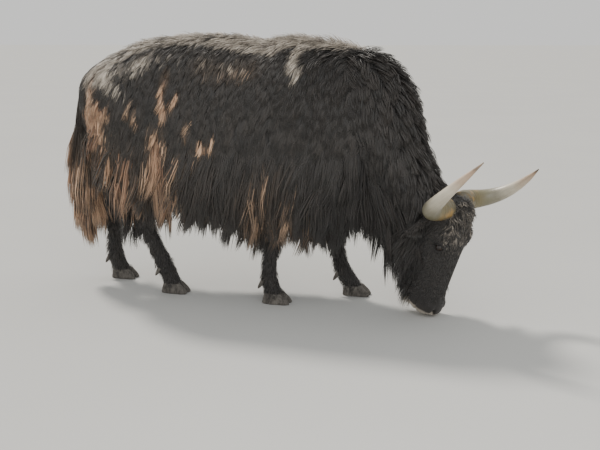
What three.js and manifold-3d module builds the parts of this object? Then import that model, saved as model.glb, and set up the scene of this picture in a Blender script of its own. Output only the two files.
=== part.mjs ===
// A grazing yak, life size, as a still museum figure.
// Millimetres, +Z up. It faces +X, its left side is +Y and its hooves stand on z = 0. The head is down and
// turned to its right. The flesh is lofted from rings and parted by planes, and the long coat is flat,
// tapered locks rooted in the flesh of the part that they grow from.
import * as THREE from "three";
import { mergeVertices } from "three/addons/utils/BufferGeometryUtils.js";
import Module from "manifold-3d";

const wasm = await Module();
wasm.setup();

const PART_GAP = 0.5; // free space between neighbouring parts
const SIDES = { right: -1, left: 1 };
const V = (x, y, z) => new THREE.Vector3(x, y, z);
const UP = V(0, 0, 1);
const FORE = V(1, 0, 0);
const LEFT = V(0, 1, 0);

// Seeded random numbers, so that the locks vary in the same way each time
let seed = 20417;
function draw(low, high) {
  seed = (seed * 1103515245 + 12345) % 2147483648;
  return low + ((high - low) * seed) / 2147483648;
}

// Smooth values through the rows of a table whose first column rises
function profile(rows) {
  return (at) => {
    const last = rows.length - 1;
    let i = 0;
    while (i < last - 1 && at > rows[i + 1][0]) i += 1;
    const [a, b] = [rows[i], rows[i + 1]];
    const before = rows[Math.max(i - 1, 0)];
    const after = rows[Math.min(i + 2, last)];
    const span = b[0] - a[0];
    const t = Math.min(Math.max((at - a[0]) / span, 0), 1);
    return a.slice(1).map((value, k) => {
      const c = k + 1;
      const leave = (b[c] - before[c]) / (b[0] - before[0]);
      const arrive = (after[c] - a[c]) / (after[0] - a[0]);
      const t2 = t * t;
      const t3 = t2 * t;
      const start = (2 * t3 - 3 * t2 + 1) * value + (t3 - 2 * t2 + t) * span * leave;
      return start + (3 * t2 - 2 * t3) * b[c] + (t3 - t2) * span * arrive;
    });
  };
}

// SOLIDS
function solidOf(geometry) {
  const bare = new THREE.BufferGeometry();
  bare.setAttribute("position", geometry.getAttribute("position").clone());
  if (geometry.index) bare.setIndex(geometry.index.clone());
  const merged = mergeVertices(bare, 1e-4);
  const vertProperties = new Float32Array(merged.attributes.position.array);
  const triVerts = new Uint32Array(merged.index.array);
  return new wasm.Manifold(new wasm.Mesh({ numProp: 3, vertProperties, triVerts }));
}

// The largest closed surface of a solid as a three.js geometry
function geometryOf(solid) {
  const bodies = solid.decompose().sort((a, b) => b.volume() - a.volume());
  const mesh = bodies[0].getMesh();
  const geometry = new THREE.BufferGeometry();
  geometry.setAttribute("position", new THREE.BufferAttribute(mesh.vertProperties, 3));
  geometry.setIndex(new THREE.BufferAttribute(mesh.triVerts, 1));
  return geometry;
}

const joinAll = (solids) => wasm.Manifold.union(solids);

// A closed skin over rings with the same number of points each. A ring of one point is a tip.
function skinOver(rings) {
  const around = Math.max(...rings.map((points) => points.length));
  const corners = [];
  const faces = [];
  const starts = rings.map((points) => {
    corners.push(...points);
    return corners.length - points.length;
  });
  for (let r = 0; r + 1 < rings.length; r += 1) {
    const [a, b] = [starts[r], starts[r + 1]];
    for (let i = 0; i < around; i += 1) {
      const j = (i + 1) % around;
      if (rings[r + 1].length === 1) faces.push([a + i, a + j, b]);
      else faces.push([a + i, a + j, b + j], [a + i, b + j, b + i]);
    }
  }
  const closeEnd = (points, start, last) => {
    for (let i = 1; i + 1 < points.length; i += 1) {
      faces.push(last ? [start, start + i, start + i + 1] : [start, start + i + 1, start + i]);
    }
  };
  closeEnd(rings[0], starts[0], false);
  closeEnd(rings.at(-1), starts.at(-1), true);
  const geometry = new THREE.BufferGeometry().setFromPoints(corners);
  geometry.setIndex(faces.flat());
  return geometry;
}

function loft(rings) {
  const made = solidOf(skinOver(rings));
  if (made.volume() > 0) return made;
  return solidOf(skinOver(rings.map((points) => [...points].reverse())));
}

// A ring round a centre: half sizes to the side, the front and the back. A power under 1 makes it squarer.
function ring(centre, side, front, halfSide, halfFront, halfBack, count, power = 1) {
  return Array.from({ length: count }, (_, i) => {
    const angle = (2 * Math.PI * i) / count;
    const [c, s] = [Math.cos(angle), Math.sin(angle)];
    const across = halfSide * Math.sign(c) * Math.abs(c) ** power;
    const along = (s > 0 ? halfFront : halfBack) * Math.sign(s) * Math.abs(s) ** power;
    return centre.clone().addScaledVector(side, across).addScaledVector(front, along);
  });
}

// A limb along a smooth curve through joints [x, y, z, half depth, half width]
function limb(joints, count, steps, grow) {
  const path = new THREE.CatmullRomCurve3(joints.map((j) => V(j[0], j[1], j[2])));
  const sizes = profile(joints.map((j, i) => [i, j[3], j[4]]));
  const rings = [];
  for (let k = 0; k <= steps; k += 1) {
    const t = k / steps;
    const [depth, width] = sizes(t * (joints.length - 1));
    const along = path.getTangent(t);
    const side = V(0, 0, 0).crossVectors(along, FORE).normalize();
    const front = V(0, 0, 0).crossVectors(side, along).normalize();
    const past = k === 0 ? -grow : k === steps ? grow : 0;
    const centre = path.getPoint(t).addScaledVector(along, past);
    rings.push(ring(centre, side, front, width + grow, depth + grow, depth + grow, count, 0.9));
  }
  return loft(rings);
}

// An ellipsoid: half sizes along three directions
function ellipsoid(centre, axes, halves, grow, around = 12, high = 8) {
  const ball = new THREE.SphereGeometry(1, around, high);
  const [a, b, c] = axes.map((axis, i) => axis.clone().multiplyScalar(halves[i] + grow));
  const frame = new THREE.Matrix4().makeBasis(a, b, c).setPosition(centre);
  return solidOf(ball.applyMatrix4(frame));
}

// Everything on one side of a plane, as a large box
const REACH = 4000;
function halfSpace(point, facing) {
  const box = new THREE.BoxGeometry(REACH, REACH, REACH).translate(0, 0, REACH / 2);
  box.applyQuaternion(new THREE.Quaternion().setFromUnitVectors(UP, facing));
  return solidOf(box.translate(point.x, point.y, point.z));
}

// TRUNK: x, top, bottom, half width, height of the widest place
const TRUNK = profile([
  [-868, 1185, 1040, 60, 1110],
  [-840, 1222, 950, 125, 1090],
  [-780, 1272, 850, 175, 1060],
  [-700, 1312, 770, 218, 1030],
  [-600, 1350, 710, 246, 1000],
  [-480, 1398, 660, 262, 970],
  [-300, 1424, 620, 280, 930],
  [-100, 1438, 590, 296, 900],
  [100, 1428, 575, 300, 890],
  [260, 1408, 560, 288, 900],
  [380, 1424, 555, 276, 920],
  [540, 1402, 560, 258, 940],
  [670, 1380, 590, 236, 950],
  [800, 1338, 660, 200, 960],
  [880, 1270, 745, 158, 980],
  [935, 1180, 830, 100, 1000],
]);
const TRUNK_STATIONS = [
  -868, -840, -780, -690, -580, -460, -320, -160, 0, 140, 260, 360, 460, 560, 660, 760, 850, 935,
];
// Swellings and hollows of the flanks: x, z, reach in x, reach in z, share of the half width
const FLANK_FORMS = [
  [500, 1150, 170, 260, 0.16], // shoulder blade
  [460, 800, 170, 200, 0.06], // upper arm
  [-610, 1060, 200, 230, 0.1], // haunch
  [-300, 1130, 130, 170, -0.06], // hollow before the hip
];
function trunkPoint(x, angle, grow = 0) {
  const [top, bottom, halfWidth, widest] = TRUNK(x);
  const [c, s] = [Math.cos(angle), Math.sin(angle)];
  const rise = s > 0 ? top + grow - widest : widest - bottom + grow;
  const z = widest + rise * Math.sign(s) * Math.abs(s) ** (s > 0 ? 0.92 : 0.85);
  const y = (halfWidth + grow) * Math.sign(c) * Math.abs(c) ** (s > 0 ? 1.1 : 0.8);
  const swell = FLANK_FORMS.map(([fx, fz, rx, rz, share]) => {
    return share * Math.exp(-(((x - fx) / rx) ** 2) - ((z - fz) / rz) ** 2);
  });
  return V(x, y * (1 + swell.reduce((sum, part) => sum + part)), z);
}
const TRUNK_SIDES = 24;
function trunk(grow) {
  const rings = TRUNK_STATIONS.map((x, i) => {
    const past = i === 0 ? -grow : i === TRUNK_STATIONS.length - 1 ? grow : 0;
    return Array.from({ length: TRUNK_SIDES }, (_, k) => {
      const p = trunkPoint(x, (2 * Math.PI * k) / TRUNK_SIDES, grow);
      return p.setX(p.x + past);
    });
  });
  return loft(rings);
}

// NECK: [x, y, z, half width, to the crest, to the throat] along its middle
const NECK = [
  [560, 0, 1060, 200, 318, 330],
  [720, 0, 1010, 196, 348, 340],
  [860, -20, 920, 172, 286, 315],
  [980, -60, 810, 142, 170, 250],
  [1090, -105, 700, 118, 94, 190],
  [1170, -138, 610, 104, 76, 145],
  [1225, -150, 545, 94, 60, 110],
];
const NECK_STEPS = 9;
const NECK_SIDES = 16;
const neckPath = new THREE.CatmullRomCurve3(NECK.map((n) => V(n[0], n[1], n[2])));
const neckSizes = profile(NECK.map((n, i) => [i, n[3], n[4], n[5]]));
function neckPoint(t, angle, grow = 0) {
  const along = neckPath.getTangent(t);
  const side = V(0, 0, 0).crossVectors(UP, along).normalize();
  const crest = V(0, 0, 0).crossVectors(along, side).normalize();
  const [halfWidth, toCrest, toThroat] = neckSizes(t * (NECK.length - 1));
  const [c, s] = [Math.cos(angle), Math.sin(angle)];
  const rise = ((s > 0 ? toCrest : toThroat) + grow) * s;
  return neckPath.getPoint(t).addScaledVector(side, (halfWidth + grow) * c).addScaledVector(crest, rise);
}
function neckFlesh(grow) {
  const rings = [];
  for (let k = 0; k <= NECK_STEPS; k += 1) {
    const turn = (_, i) => neckPoint(k / NECK_STEPS, (2 * Math.PI * i) / NECK_SIDES, grow);
    rings.push(Array.from({ length: NECK_SIDES }, turn));
  }
  return loft(rings);
}

// HEAD, in a frame of its own: to the animal's left, out of the forehead, and down the face
const HEAD_TURN = THREE.MathUtils.degToRad(24);
const HEAD_TUCK = THREE.MathUtils.degToRad(16);
const HEAD_AT = V(1298, -171, 597); // between the roots of the horns
const ahead = V(Math.cos(HEAD_TURN), -Math.sin(HEAD_TURN), 0);
const headLeft = V(Math.sin(HEAD_TURN), Math.cos(HEAD_TURN), 0);
const faceOut = ahead.clone().applyAxisAngle(headLeft, HEAD_TUCK);
const faceDown = UP.clone().negate().applyAxisAngle(headLeft, HEAD_TUCK);
const HEAD_AXES = [headLeft, faceOut, faceDown];
function inHead(left, out, down) {
  const place = HEAD_AT.clone().addScaledVector(headLeft, left);
  return place.addScaledVector(faceOut, out).addScaledVector(faceDown, down);
}
// Down the face: to the forehead side, to the jaw side, half width, squareness
const HEAD = profile([
  [-40, 30, 50, 60, 0.9],
  [-20, 58, 95, 92, 0.88],
  [30, 78, 140, 114, 0.85],
  [90, 84, 165, 118, 0.85],
  [150, 88, 185, 122, 0.85],
  [190, 90, 196, 116, 0.85],
  [230, 86, 202, 112, 0.85],
  [300, 82, 196, 98, 0.85],
  [380, 78, 168, 84, 0.82],
  [460, 74, 132, 76, 0.78],
  [530, 78, 106, 84, 0.74],
  [572, 72, 92, 82, 0.74],
  [598, 50, 62, 60, 0.78],
]);
const HEAD_STATIONS = [-40, -18, 25, 85, 145, 195, 245, 310, 380, 450, 515, 565, 598];
const HEAD_SIDES = 16;
function skull(grow) {
  const rings = HEAD_STATIONS.map((down, i) => {
    const past = i === 0 ? -grow : i === HEAD_STATIONS.length - 1 ? grow : 0;
    const [front, back, half, square] = HEAD(down);
    const centre = inHead(0, 0, down + past);
    return ring(centre, headLeft, faceOut, half + grow, front + grow, back + grow, HEAD_SIDES, square);
  });
  return loft(rings);
}
const EYE = { left: 100, out: 34, down: 196, radius: 22 };
const LID = { width: 9, rim: 26 };
const NOSE_PAD = { out: 62, down: 560, halves: [58, 22, 38] };
const NOSTRIL = { left: 44, out: 74, down: 566, halves: [11, 16, 17] };
const CHIN = { out: -50, down: 556, halves: [52, 44, 40] };
const MOUTH = { out: -26, corner: 500, height: 6, depth: 10 };
function lids(side, grow) {
  const rim = new THREE.TorusGeometry(LID.rim, LID.width + grow, 5, 10);
  const frame = new THREE.Matrix4().makeBasis(faceOut, faceDown, headLeft);
  frame.setPosition(inHead(SIDES[side] * (EYE.left + 3), EYE.out, EYE.down));
  return solidOf(rim.scale(1.05, 0.78, 1).applyMatrix4(frame));
}
function headFlesh(grow) {
  const forms = [skull(grow)];
  forms.push(ellipsoid(inHead(0, NOSE_PAD.out, NOSE_PAD.down), HEAD_AXES, NOSE_PAD.halves, grow, 8, 5));
  forms.push(ellipsoid(inHead(0, CHIN.out, CHIN.down), HEAD_AXES, CHIN.halves, grow, 8, 5));
  for (const side of ["right", "left"]) forms.push(lids(side, grow));
  return joinAll(forms);
}
// The groove between the lips: a thin slab round the end of the muzzle, kept to the skin
function mouthLine() {
  const slab = new THREE.BoxGeometry(400, MOUTH.height, 300);
  const frame = new THREE.Matrix4().makeBasis(headLeft, faceOut, faceDown);
  frame.setPosition(inHead(0, MOUTH.out, MOUTH.corner + 150));
  return solidOf(slab.applyMatrix4(frame)).subtract(skull(-MOUTH.depth));
}
function nostril(side) {
  const middle = inHead(SIDES[side] * NOSTRIL.left, NOSTRIL.out, NOSTRIL.down);
  return ellipsoid(middle, HEAD_AXES, NOSTRIL.halves, 0, 8, 6);
}
function eye(side, grow) {
  const middle = inHead(SIDES[side] * EYE.left, EYE.out, EYE.down);
  return ellipsoid(middle, HEAD_AXES, [EYE.radius, EYE.radius, EYE.radius], grow, 10, 7);
}

// HORNS: a cubic curve in the head's frame, [out to the side, out of the forehead, up], and the half thickness
const HORNS = {
  right: [[78, -4, -8], [188, -12, 12], [394, -6, -50], [266, 214, 342]],
  left: [[90, -20, -2], [225, -85, -10], [391, 43, -40], [263, 243, 262]],
};
const HORN_THICKNESS = profile([[0, 56], [0.15, 54], [0.4, 47], [0.7, 34], [0.9, 18], [1, 3]]);
const HORN_STEPS = 12;
function horn(side, grow) {
  const points = HORNS[side].map(([aside, out, up]) => inHead(SIDES[side] * aside, out, -up));
  const curve = new THREE.CubicBezierCurve3(...points);
  const rings = [];
  for (let k = 0; k < HORN_STEPS; k += 1) {
    const t = k / (HORN_STEPS - 0.4);
    const along = curve.getTangent(t);
    const across = V(0, 0, 0).crossVectors(along, UP).normalize();
    const up = V(0, 0, 0).crossVectors(across, along).normalize();
    const radius = HORN_THICKNESS(t)[0] + grow;
    const centre = curve.getPoint(t).addScaledVector(along, k === 0 ? -grow : 0);
    rings.push(ring(centre, across, up, radius, radius * 0.94, radius * 0.94, 12));
  }
  rings.push([curve.getPoint(1)]);
  return loft(rings);
}

// EARS: a drooping, cupped leaf behind each horn
const EAR = { left: 74, out: -78, down: 62, length: 180 };
const EAR_SHAPE = profile([[0, 26, 13], [0.2, 29, 11], [0.5, 39, 9], [0.8, 26, 6], [1, 8, 3]]);
const EAR_STEPS = 6;
const EAR_FRONT = [-1, -0.5, 0.5, 1];
const EAR_BACK = [0.7, 0, -0.7];
function ear(side, grow) {
  const along = headLeft.clone().multiplyScalar(SIDES[side] * 0.86);
  along.addScaledVector(faceOut, -0.12).addScaledVector(faceDown, 0.5).normalize();
  const open = faceOut.clone().multiplyScalar(0.8).addScaledVector(faceDown, 0.35);
  const across = V(0, 0, 0).crossVectors(along, open).normalize();
  const facing = V(0, 0, 0).crossVectors(across, along).normalize();
  const root = inHead(SIDES[side] * EAR.left, EAR.out, EAR.down);
  const rings = [];
  for (let k = 0; k <= EAR_STEPS; k += 1) {
    const t = k / EAR_STEPS;
    const [half, thick] = EAR_SHAPE(t);
    const past = k === 0 ? -grow : k === EAR_STEPS ? grow : 0;
    const centre = root.clone().addScaledVector(along, t * EAR.length + past);
    const place = (u, wider, rise) => {
      const cup = half * 0.7 * u * u;
      return centre.clone().addScaledVector(across, u * (half + wider)).addScaledVector(facing, cup + rise);
    };
    const front = EAR_FRONT.map((u) => place(u, Math.abs(u) < 1 ? 0 : grow, thick * 0.35 + 2 * grow));
    const back = EAR_BACK.map((u) => place(u, grow, -thick * (1 - u * u * 0.5) - 2 * grow));
    rings.push([...front, ...back]);
  }
  return loft(rings);
}

// LEGS: joints from hip or shoulder to the top of the hoof, [x, y, z, half depth, half width]
const LEGS = {
  front_right: [
    [420, -170, 900, 130, 80],
    [315, -175, 650, 100, 66],
    [318, -155, 480, 66, 52],
    [322, -146, 345, 52, 45],
    [300, -140, 230, 39, 35],
    [298, -138, 125, 46, 42],
    [330, -138, 40, 46, 47],
  ],
  front_left: [
    [520, 170, 900, 130, 80],
    [480, 175, 650, 100, 66],
    [545, 160, 480, 66, 52],
    [585, 152, 345, 52, 45],
    [612, 150, 230, 39, 35],
    [645, 150, 125, 46, 42],
    [708, 150, 40, 46, 47],
  ],
  hind_right: [
    [-600, -140, 1000, 190, 100],
    [-470, -175, 760, 150, 85],
    [-455, -145, 580, 92, 60],
    [-468, -122, 430, 62, 45],
    [-410, -112, 300, 41, 37],
    [-335, -106, 140, 47, 43],
    [-290, -105, 40, 46, 47],
  ],
  hind_left: [
    [-640, 140, 1000, 190, 100],
    [-600, 175, 760, 150, 85],
    [-690, 145, 580, 92, 60],
    [-775, 122, 425, 62, 45],
    [-778, 112, 290, 41, 37],
    [-772, 106, 135, 47, 43],
    [-724, 105, 40, 46, 47],
  ],
};
const LEG_SIDES = 10;
const LEG_STEPS = 12;
const CORONET = 58; // height of the top of the hooves
function legFlesh(name, grow) {
  return limb(LEGS[name], LEG_SIDES, LEG_STEPS, grow).intersect(halfSpace(V(0, 0, CORONET - grow), UP));
}

// HOOVES: two claws a foot as rows [height, length, width, forward], and a dewclaw behind each
const CLAW_ROWS = [
  [0, 147, 49, 18],
  [8, 152, 49, 17],
  [30, 134, 47, 12],
  [CORONET - PART_GAP, 98, 45, 2],
];
const CLEFT = 1.2; // half the gap between the claws
function claw(foot, sign) {
  const rings = CLAW_ROWS.map(([z, long, wide, forward]) => {
    const centre = V(foot.x - 8 + forward, foot.y + sign * (wide / 2 + CLEFT), z);
    return ring(centre, LEFT, FORE, wide / 2, long / 2, long / 2, 10, 0.75);
  });
  return loft(rings);
}
const DEWCLAW = { aside: 24, behind: 32, reach: 28, drop: 46, radius: 13 };
function dewclaw(ankle, sign) {
  const root = V(ankle.x - DEWCLAW.behind, ankle.y + sign * DEWCLAW.aside, ankle.z - 2);
  const tip = V(root.x - DEWCLAW.reach, root.y + sign * 3, ankle.z - DEWCLAW.drop);
  const rings = [0, 0.75].map((t) => {
    const radius = DEWCLAW.radius * (1 - t * 0.3);
    return ring(root.clone().lerp(tip, t), LEFT, V(0.9, 0, -0.44), radius, radius, radius, 7);
  });
  rings.push([tip]);
  return loft(rings);
}

// TAIL: the dock under its long hair, [x, y, z, half depth, half width]
const TAIL = [
  [-820, 0, 1165, 46, 44],
  [-872, 0, 1115, 44, 44],
  [-896, 0, 1020, 42, 42],
  [-905, 0, 900, 44, 42],
  [-908, 0, 760, 46, 42],
  [-905, 0, 620, 40, 36],
  [-900, 0, 520, 22, 22],
];

// THE PLANES THAT PART THE FLESH, each facing away from the trunk
const nape = faceOut.clone().multiplyScalar(0.86).addScaledVector(faceDown, 0.5).normalize();
const CUTS = {
  front: { at: V(400, 0, 640), facing: V(0, 0, -1) },
  hind: { at: V(-600, 0, 800), facing: V(-0.5, 0, -0.86).normalize() },
  neck: { at: V(830, 0, 1000), facing: V(0.93, -0.1, -0.3).normalize() },
  head: { at: inHead(0, -95, 0), facing: nape },
};
function beside(cut, sign, grow) {
  const { at, facing } = CUTS[cut];
  const start = at.clone().addScaledVector(facing, sign * (PART_GAP / 2 - grow));
  return halfSpace(start, facing.clone().multiplyScalar(sign));
}

// The flesh of every part. grow makes it fatter, to cut clearances with.
function fleshOf(grow) {
  const made = {};
  const body = trunk(grow);
  const neck = neckFlesh(grow);
  const torso = [joinAll([body, neck]).intersect(beside("neck", -1, grow))];
  for (const name of Object.keys(LEGS)) {
    const cut = name.split("_")[0];
    const leg = legFlesh(name, grow);
    torso.push(leg.intersect(beside(cut, -1, grow)));
    made[`leg_${name}`] = leg.intersect(beside(cut, 1, grow));
  }
  made.torso = joinAll(torso);
  made.neck = joinAll([body, neck]).intersect(beside("neck", 1, grow)).intersect(beside("head", -1, grow));
  made.head = headFlesh(grow).intersect(beside("head", 1, grow));
  made.tail = limb(TAIL, 8, 6, grow);
  for (const side of ["right", "left"]) {
    made[`horn_${side}`] = horn(side, grow);
    made[`ear_${side}`] = ear(side, grow * 2);
    made[`eye_${side}`] = eye(side, grow);
  }
  return made;
}

// LOCKS: each is a row of flat four-sided rings along a bent path from under the skin to its tip
const LOCK_SINK = 26; // how deep the root lies in the flesh
const LOCK_THICKNESS = 0.26; // share of its width
const LOCK_RINGS = [[0.28, 1], [0.72, 0.78]]; // share of the length, share of the width
function lock({ root, out, lie, length, width, lift }, grow) {
  const side = V(0, 0, 0).crossVectors(out, lie).normalize();
  const at = (t) => {
    const bulge = length * lift * Math.sin(Math.PI * t);
    return root.clone().addScaledVector(lie, length * t).addScaledVector(out, bulge);
  };
  const flat = (centre, along, share) => {
    const face = V(0, 0, 0).crossVectors(along, side).normalize();
    const half = (width / 2) * share + grow;
    const thick = (width / 2) * LOCK_THICKNESS * (0.4 + 0.6 * share) + grow;
    return ring(centre, side, face, half, thick, thick, 4);
  };
  const sunk = root.clone().addScaledVector(out, -LOCK_SINK).addScaledVector(lie, -length * 0.08);
  const rings = [flat(sunk, lie, 0.75)];
  for (const [t, share] of LOCK_RINGS) rings.push(flat(at(t), at(t + 0.1).sub(at(t - 0.1)), share));
  rings.push([at(1).addScaledVector(lie, grow)]);
  return loft(rings);
}

// One lock with its own small differences. goal is the place of its tip.
function lockTo(root, out, goal, width, lift = 0.12) {
  const swing = V(draw(-1, 1), draw(-0.5, 0.5), draw(-1, 1)).multiplyScalar(width * 0.22);
  const lie = goal.clone().add(swing).sub(root);
  const length = lie.length() * draw(0.9, 1.1);
  const own = { width: width * draw(0.88, 1.15), lift: lift * draw(0.8, 1.2) };
  return { root, out, lie: lie.normalize(), length, ...own };
}

// Places on the flesh, with the direction out of it: side is -1 or 1, height runs from -1 below to 1 above
function spotOn(pointAt, at, side, height) {
  const angle = side > 0 ? Math.asin(height) : Math.PI - Math.asin(height);
  const root = pointAt(at, angle);
  return { root, out: pointAt(at, angle, 20).sub(root).normalize() };
}
const onTrunk = (x, side, height) => spotOn(trunkPoint, x, side, height);
const onNeck = (t, side, height) => spotOn(neckPoint, t, side, height);

// Lower edge of the hair: along the flanks, and under the throat and jaw, [x, z]
const HEM = profile([
  [-620, 560], [-400, 480], [-229, 515], [-125, 465], [-45, 400], [31, 455], [83, 450], [189, 376],
  [279, 355], [434, 370], [505, 430], [570, 300], [656, 338], [781, 425], [880, 405],
]);
const THROAT_HEM = profile([
  [700, 480], [781, 453], [842, 388], [884, 331], [934, 253], [983, 197], [1017, 107],
]);

function spread(from, to, count) {
  return Array.from({ length: count }, (_, i) => from + ((to - from) * (i + 0.5)) / count);
}

const locks = { torso: [], neck: [], head: [], tail: [] };
for (const name of Object.keys(LEGS)) locks[`leg_${name}`] = [];

// Rows of locks that follow each flank, from the top down: heights of roots and tips, count, first and
// last x, width, how far the tips hang back and stand off the flesh
const FLANK_ROWS = [
  [0.8, 0.45, 5, -700, 860, 150, 80, 22],
  [0.4, -0.08, 7, -800, 860, 140, 70, 34],
];
// Rows that hang free: height of the roots, count, first and last x, width, drop, or none down to the hem
const HANGING_ROWS = [
  [-0.2, 9, -560, 870, 124, 290],
  [-0.6, 16, -560, 880, 110, 0],
];
// The haunch: the locks hang further the nearer they are to the tail
const HAUNCH = { count: 4, from: -860, to: -560, height: -0.05, width: 110, back: 45, drop: 290, more: 0.55 };
for (const sign of [-1, 1]) {
  for (const [high, low, count, from, to, width, back, stand] of FLANK_ROWS) {
    for (const x of spread(from, to, count)) {
      const { root, out } = onTrunk(x + draw(-15, 15), sign, high + draw(-0.06, 0.06));
      const goal = onTrunk(Math.max(x - back, -860), sign, low + draw(-0.08, 0.04));
      locks.torso.push(lockTo(root, out, goal.root.addScaledVector(goal.out, stand), width, 0.1));
    }
  }
  for (const [height, count, from, to, width, drop] of HANGING_ROWS) {
    for (const [i, x] of spread(from, to, count).entries()) {
      const { root } = onTrunk(x + 14, sign, height + (i % 2) * 0.08);
      const down = drop ? root.z - drop * draw(0.9, 1.1) : HEM(x)[0] + draw(-20, 25);
      const goal = V(x - draw(10, 50), root.y + sign * (10 + (i % 2) * 24), down);
      locks.torso.push(lockTo(root, LEFT.clone().multiplyScalar(sign), goal, width, 0.05));
    }
  }
  for (const x of spread(HAUNCH.from, HAUNCH.to, HAUNCH.count)) {
    const { root, out } = onTrunk(x, sign, HAUNCH.height);
    const drop = (HAUNCH.drop + HAUNCH.more * (HAUNCH.to - x)) * draw(0.85, 1.1);
    const goal = root.clone().add(V(-HAUNCH.back, sign * 14, -drop));
    locks.torso.push(lockTo(root, out, goal, HAUNCH.width, 0.1));
  }
}
// The ridge of the back
for (const [i, x] of spread(-700, 880, 8).entries()) {
  const { root, out } = onTrunk(x, i % 2 ? 1 : -1, 0.97);
  const goal = onTrunk(Math.max(x - 190, -850), i % 2 ? 1 : -1, 0.95);
  locks.torso.push(lockTo(root, out, goal.root.addScaledVector(goal.out, 4), 150, 0.05));
}

// Neck: hair down both sides, under the throat, and on the crest
for (const sign of [-1, 1]) {
  for (const height of [0.5, -0.1]) {
    for (const t of spread(0.36, 1, 4)) {
      const { root, out } = onNeck(t + draw(-0.03, 0.03), sign, height);
      const goal = root.clone().add(V(-10, sign * 22, -200)).addScaledVector(out, 14);
      locks.neck.push(lockTo(root, out, goal, 122, 0.08));
    }
  }
  for (const [row, count] of [[0.3, 3], [0.8, 4]]) {
    for (const t of spread(0.5, 0.98, count)) {
      const { root, out } = onNeck(t, sign, -1 + row * 0.24);
      const x = Math.max(root.x - draw(10, 50), 760);
      const goal = V(x, root.y + sign * 34 * row, THROAT_HEM(x)[0] + draw(0, 60));
      locks.neck.push(lockTo(root, out, goal, 96, 0.05));
    }
  }
}
for (const [i, t] of spread(0.24, 0.86, 7).entries()) {
  const side = i % 2 ? 1 : -1;
  const { root, out } = onNeck(t, side, 0.985);
  const goal = onNeck(t + 0.13, -side, 0.99);
  locks.neck.push(lockTo(root, out, goal.root.addScaledVector(goal.out, draw(16, 34)), 130, 0.05));
}

// Head: the forelock between the horns, and the beard along the jaw
for (const left of [-56, -19, 19, 56]) {
  const root = inHead(left, HEAD(0)[0] * 0.8, 0);
  const goal = inHead(left * 0.95, HEAD(150)[0] + 20, 150 + draw(-20, 50));
  locks.head.push(lockTo(root, faceOut, goal, 66, 0.14));
}
for (const left of [-38, 0, 38]) {
  const root = inHead(left, HEAD(100)[0] * 0.94, 100);
  const goal = inHead(left * 0.8, HEAD(240)[0] + 12, 240 + draw(-10, 40));
  locks.head.push(lockTo(root, faceOut, goal, 58, 0.1));
}
const jawOut = faceOut.clone().negate();
for (const [i, down] of spread(170, 500, 8).entries()) {
  const root = inHead(i % 2 ? 42 : -42, -HEAD(down)[1] * 0.86, down);
  const goal = root.clone().add(V(-34, 0, -150 + down * 0.16)).addScaledVector(jawOut, 16);
  goal.z = Math.max(goal.z, 36);
  locks.head.push(lockTo(root, jawOut, goal, 66, 0.05));
}

// Tail: rings of long locks down the dock, [height, reach, width, count, spread of their ends]
const TAIL_ROWS = [[1010, 400, 100, 4, 1], [800, 380, 120, 4, 1], [610, 400, 116, 5, 0.5]];
for (const [z, reach, width, count, ends] of TAIL_ROWS) {
  for (let k = 0; k < count; k += 1) {
    const angle = ((k + draw(0.3, 0.7)) / count) * 2 * Math.PI;
    const out = V(Math.cos(angle), Math.sin(angle), 0);
    const root = V(-902, 0, z).addScaledVector(out, 38);
    const wide = V(out.x * 74, out.y * 58, 0).multiplyScalar(ends);
    locks.tail.push(lockTo(root, out, V(-895, 0, z - reach).add(wide), width, 0.08));
  }
}

// Legs: feathers behind the thighs and the upper arms
const FEATHERS = {
  hind_right: [[-570, 660], [-545, 540], [-380, 600], [-400, 510]],
  hind_left: [[-780, 680], [-815, 560], [-620, 600], [-680, 510]],
  front_right: [[265, 570], [264, 470]],
  front_left: [[470, 570], [515, 470]],
};
for (const [name, places] of Object.entries(FEATHERS)) {
  const sign = name.endsWith("right") ? -1 : 1;
  for (const [x, z] of places) {
    const middle = LEGS[name].find((joint) => joint[2] < z + 60);
    const out = V(Math.sign(x - middle[0]) * 0.8, sign * 0.6, 0).normalize();
    const root = V(x, middle[1] + sign * 22, z);
    const goal = root.clone().add(V(out.x * 30, sign * 14, -190));
    locks[`leg_${name}`].push(lockTo(root, out, goal, 90, 0.05));
  }
}

// PARTS
const flesh = fleshOf(0);
const fat = fleshOf(PART_GAP);
// What each part's flesh is cut clear of
const SOCKETS = {
  head: ["eye_right", "eye_left", "horn_right", "horn_left"],
  ear_right: ["head", "horn_right"],
  ear_left: ["head", "horn_left"],
  tail: ["torso"],
  neck: ["horn_right", "horn_left", "head", "ear_right", "ear_left"],
  leg_front_right: ["torso"],
  leg_front_left: ["torso"],
  leg_hind_right: ["torso"],
  leg_hind_left: ["torso"],
};
const carve = (solid, cutters) => cutters.reduce((left, cutter) => left.subtract(cutter), solid);

const parts = {};
for (const [name, solid] of Object.entries(flesh)) {
  parts[name] = carve(solid, (SOCKETS[name] ?? []).map((other) => fat[other]));
}
parts.head = carve(parts.head, [mouthLine(), nostril("right"), nostril("left")]);

// A lock is trimmed clear of the flesh of other parts and of the locks already placed there
const placed = [];
for (const [name, specs] of Object.entries(locks)) {
  const others = Object.keys(fat).filter((other) => other !== name).map((other) => fat[other]);
  const hair = carve(joinAll(specs.map((spec) => lock(spec, 0))), [...others, ...placed]);
  placed.push(joinAll(specs.map((spec) => lock(spec, PART_GAP))));
  parts[name] = joinAll([parts[name], hair]);
}

for (const [name, joints] of Object.entries(LEGS)) {
  const [ankle, foot] = joints.slice(-2).map((j) => V(j[0], j[1], j[2]));
  for (const [side, sign] of Object.entries(SIDES)) {
    parts[`hoof_${name}_${side}`] = claw(foot, sign);
    parts[`dewclaw_${name}_${side}`] = dewclaw(ankle, sign).subtract(fat[`leg_${name}`]);
  }
}

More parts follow.
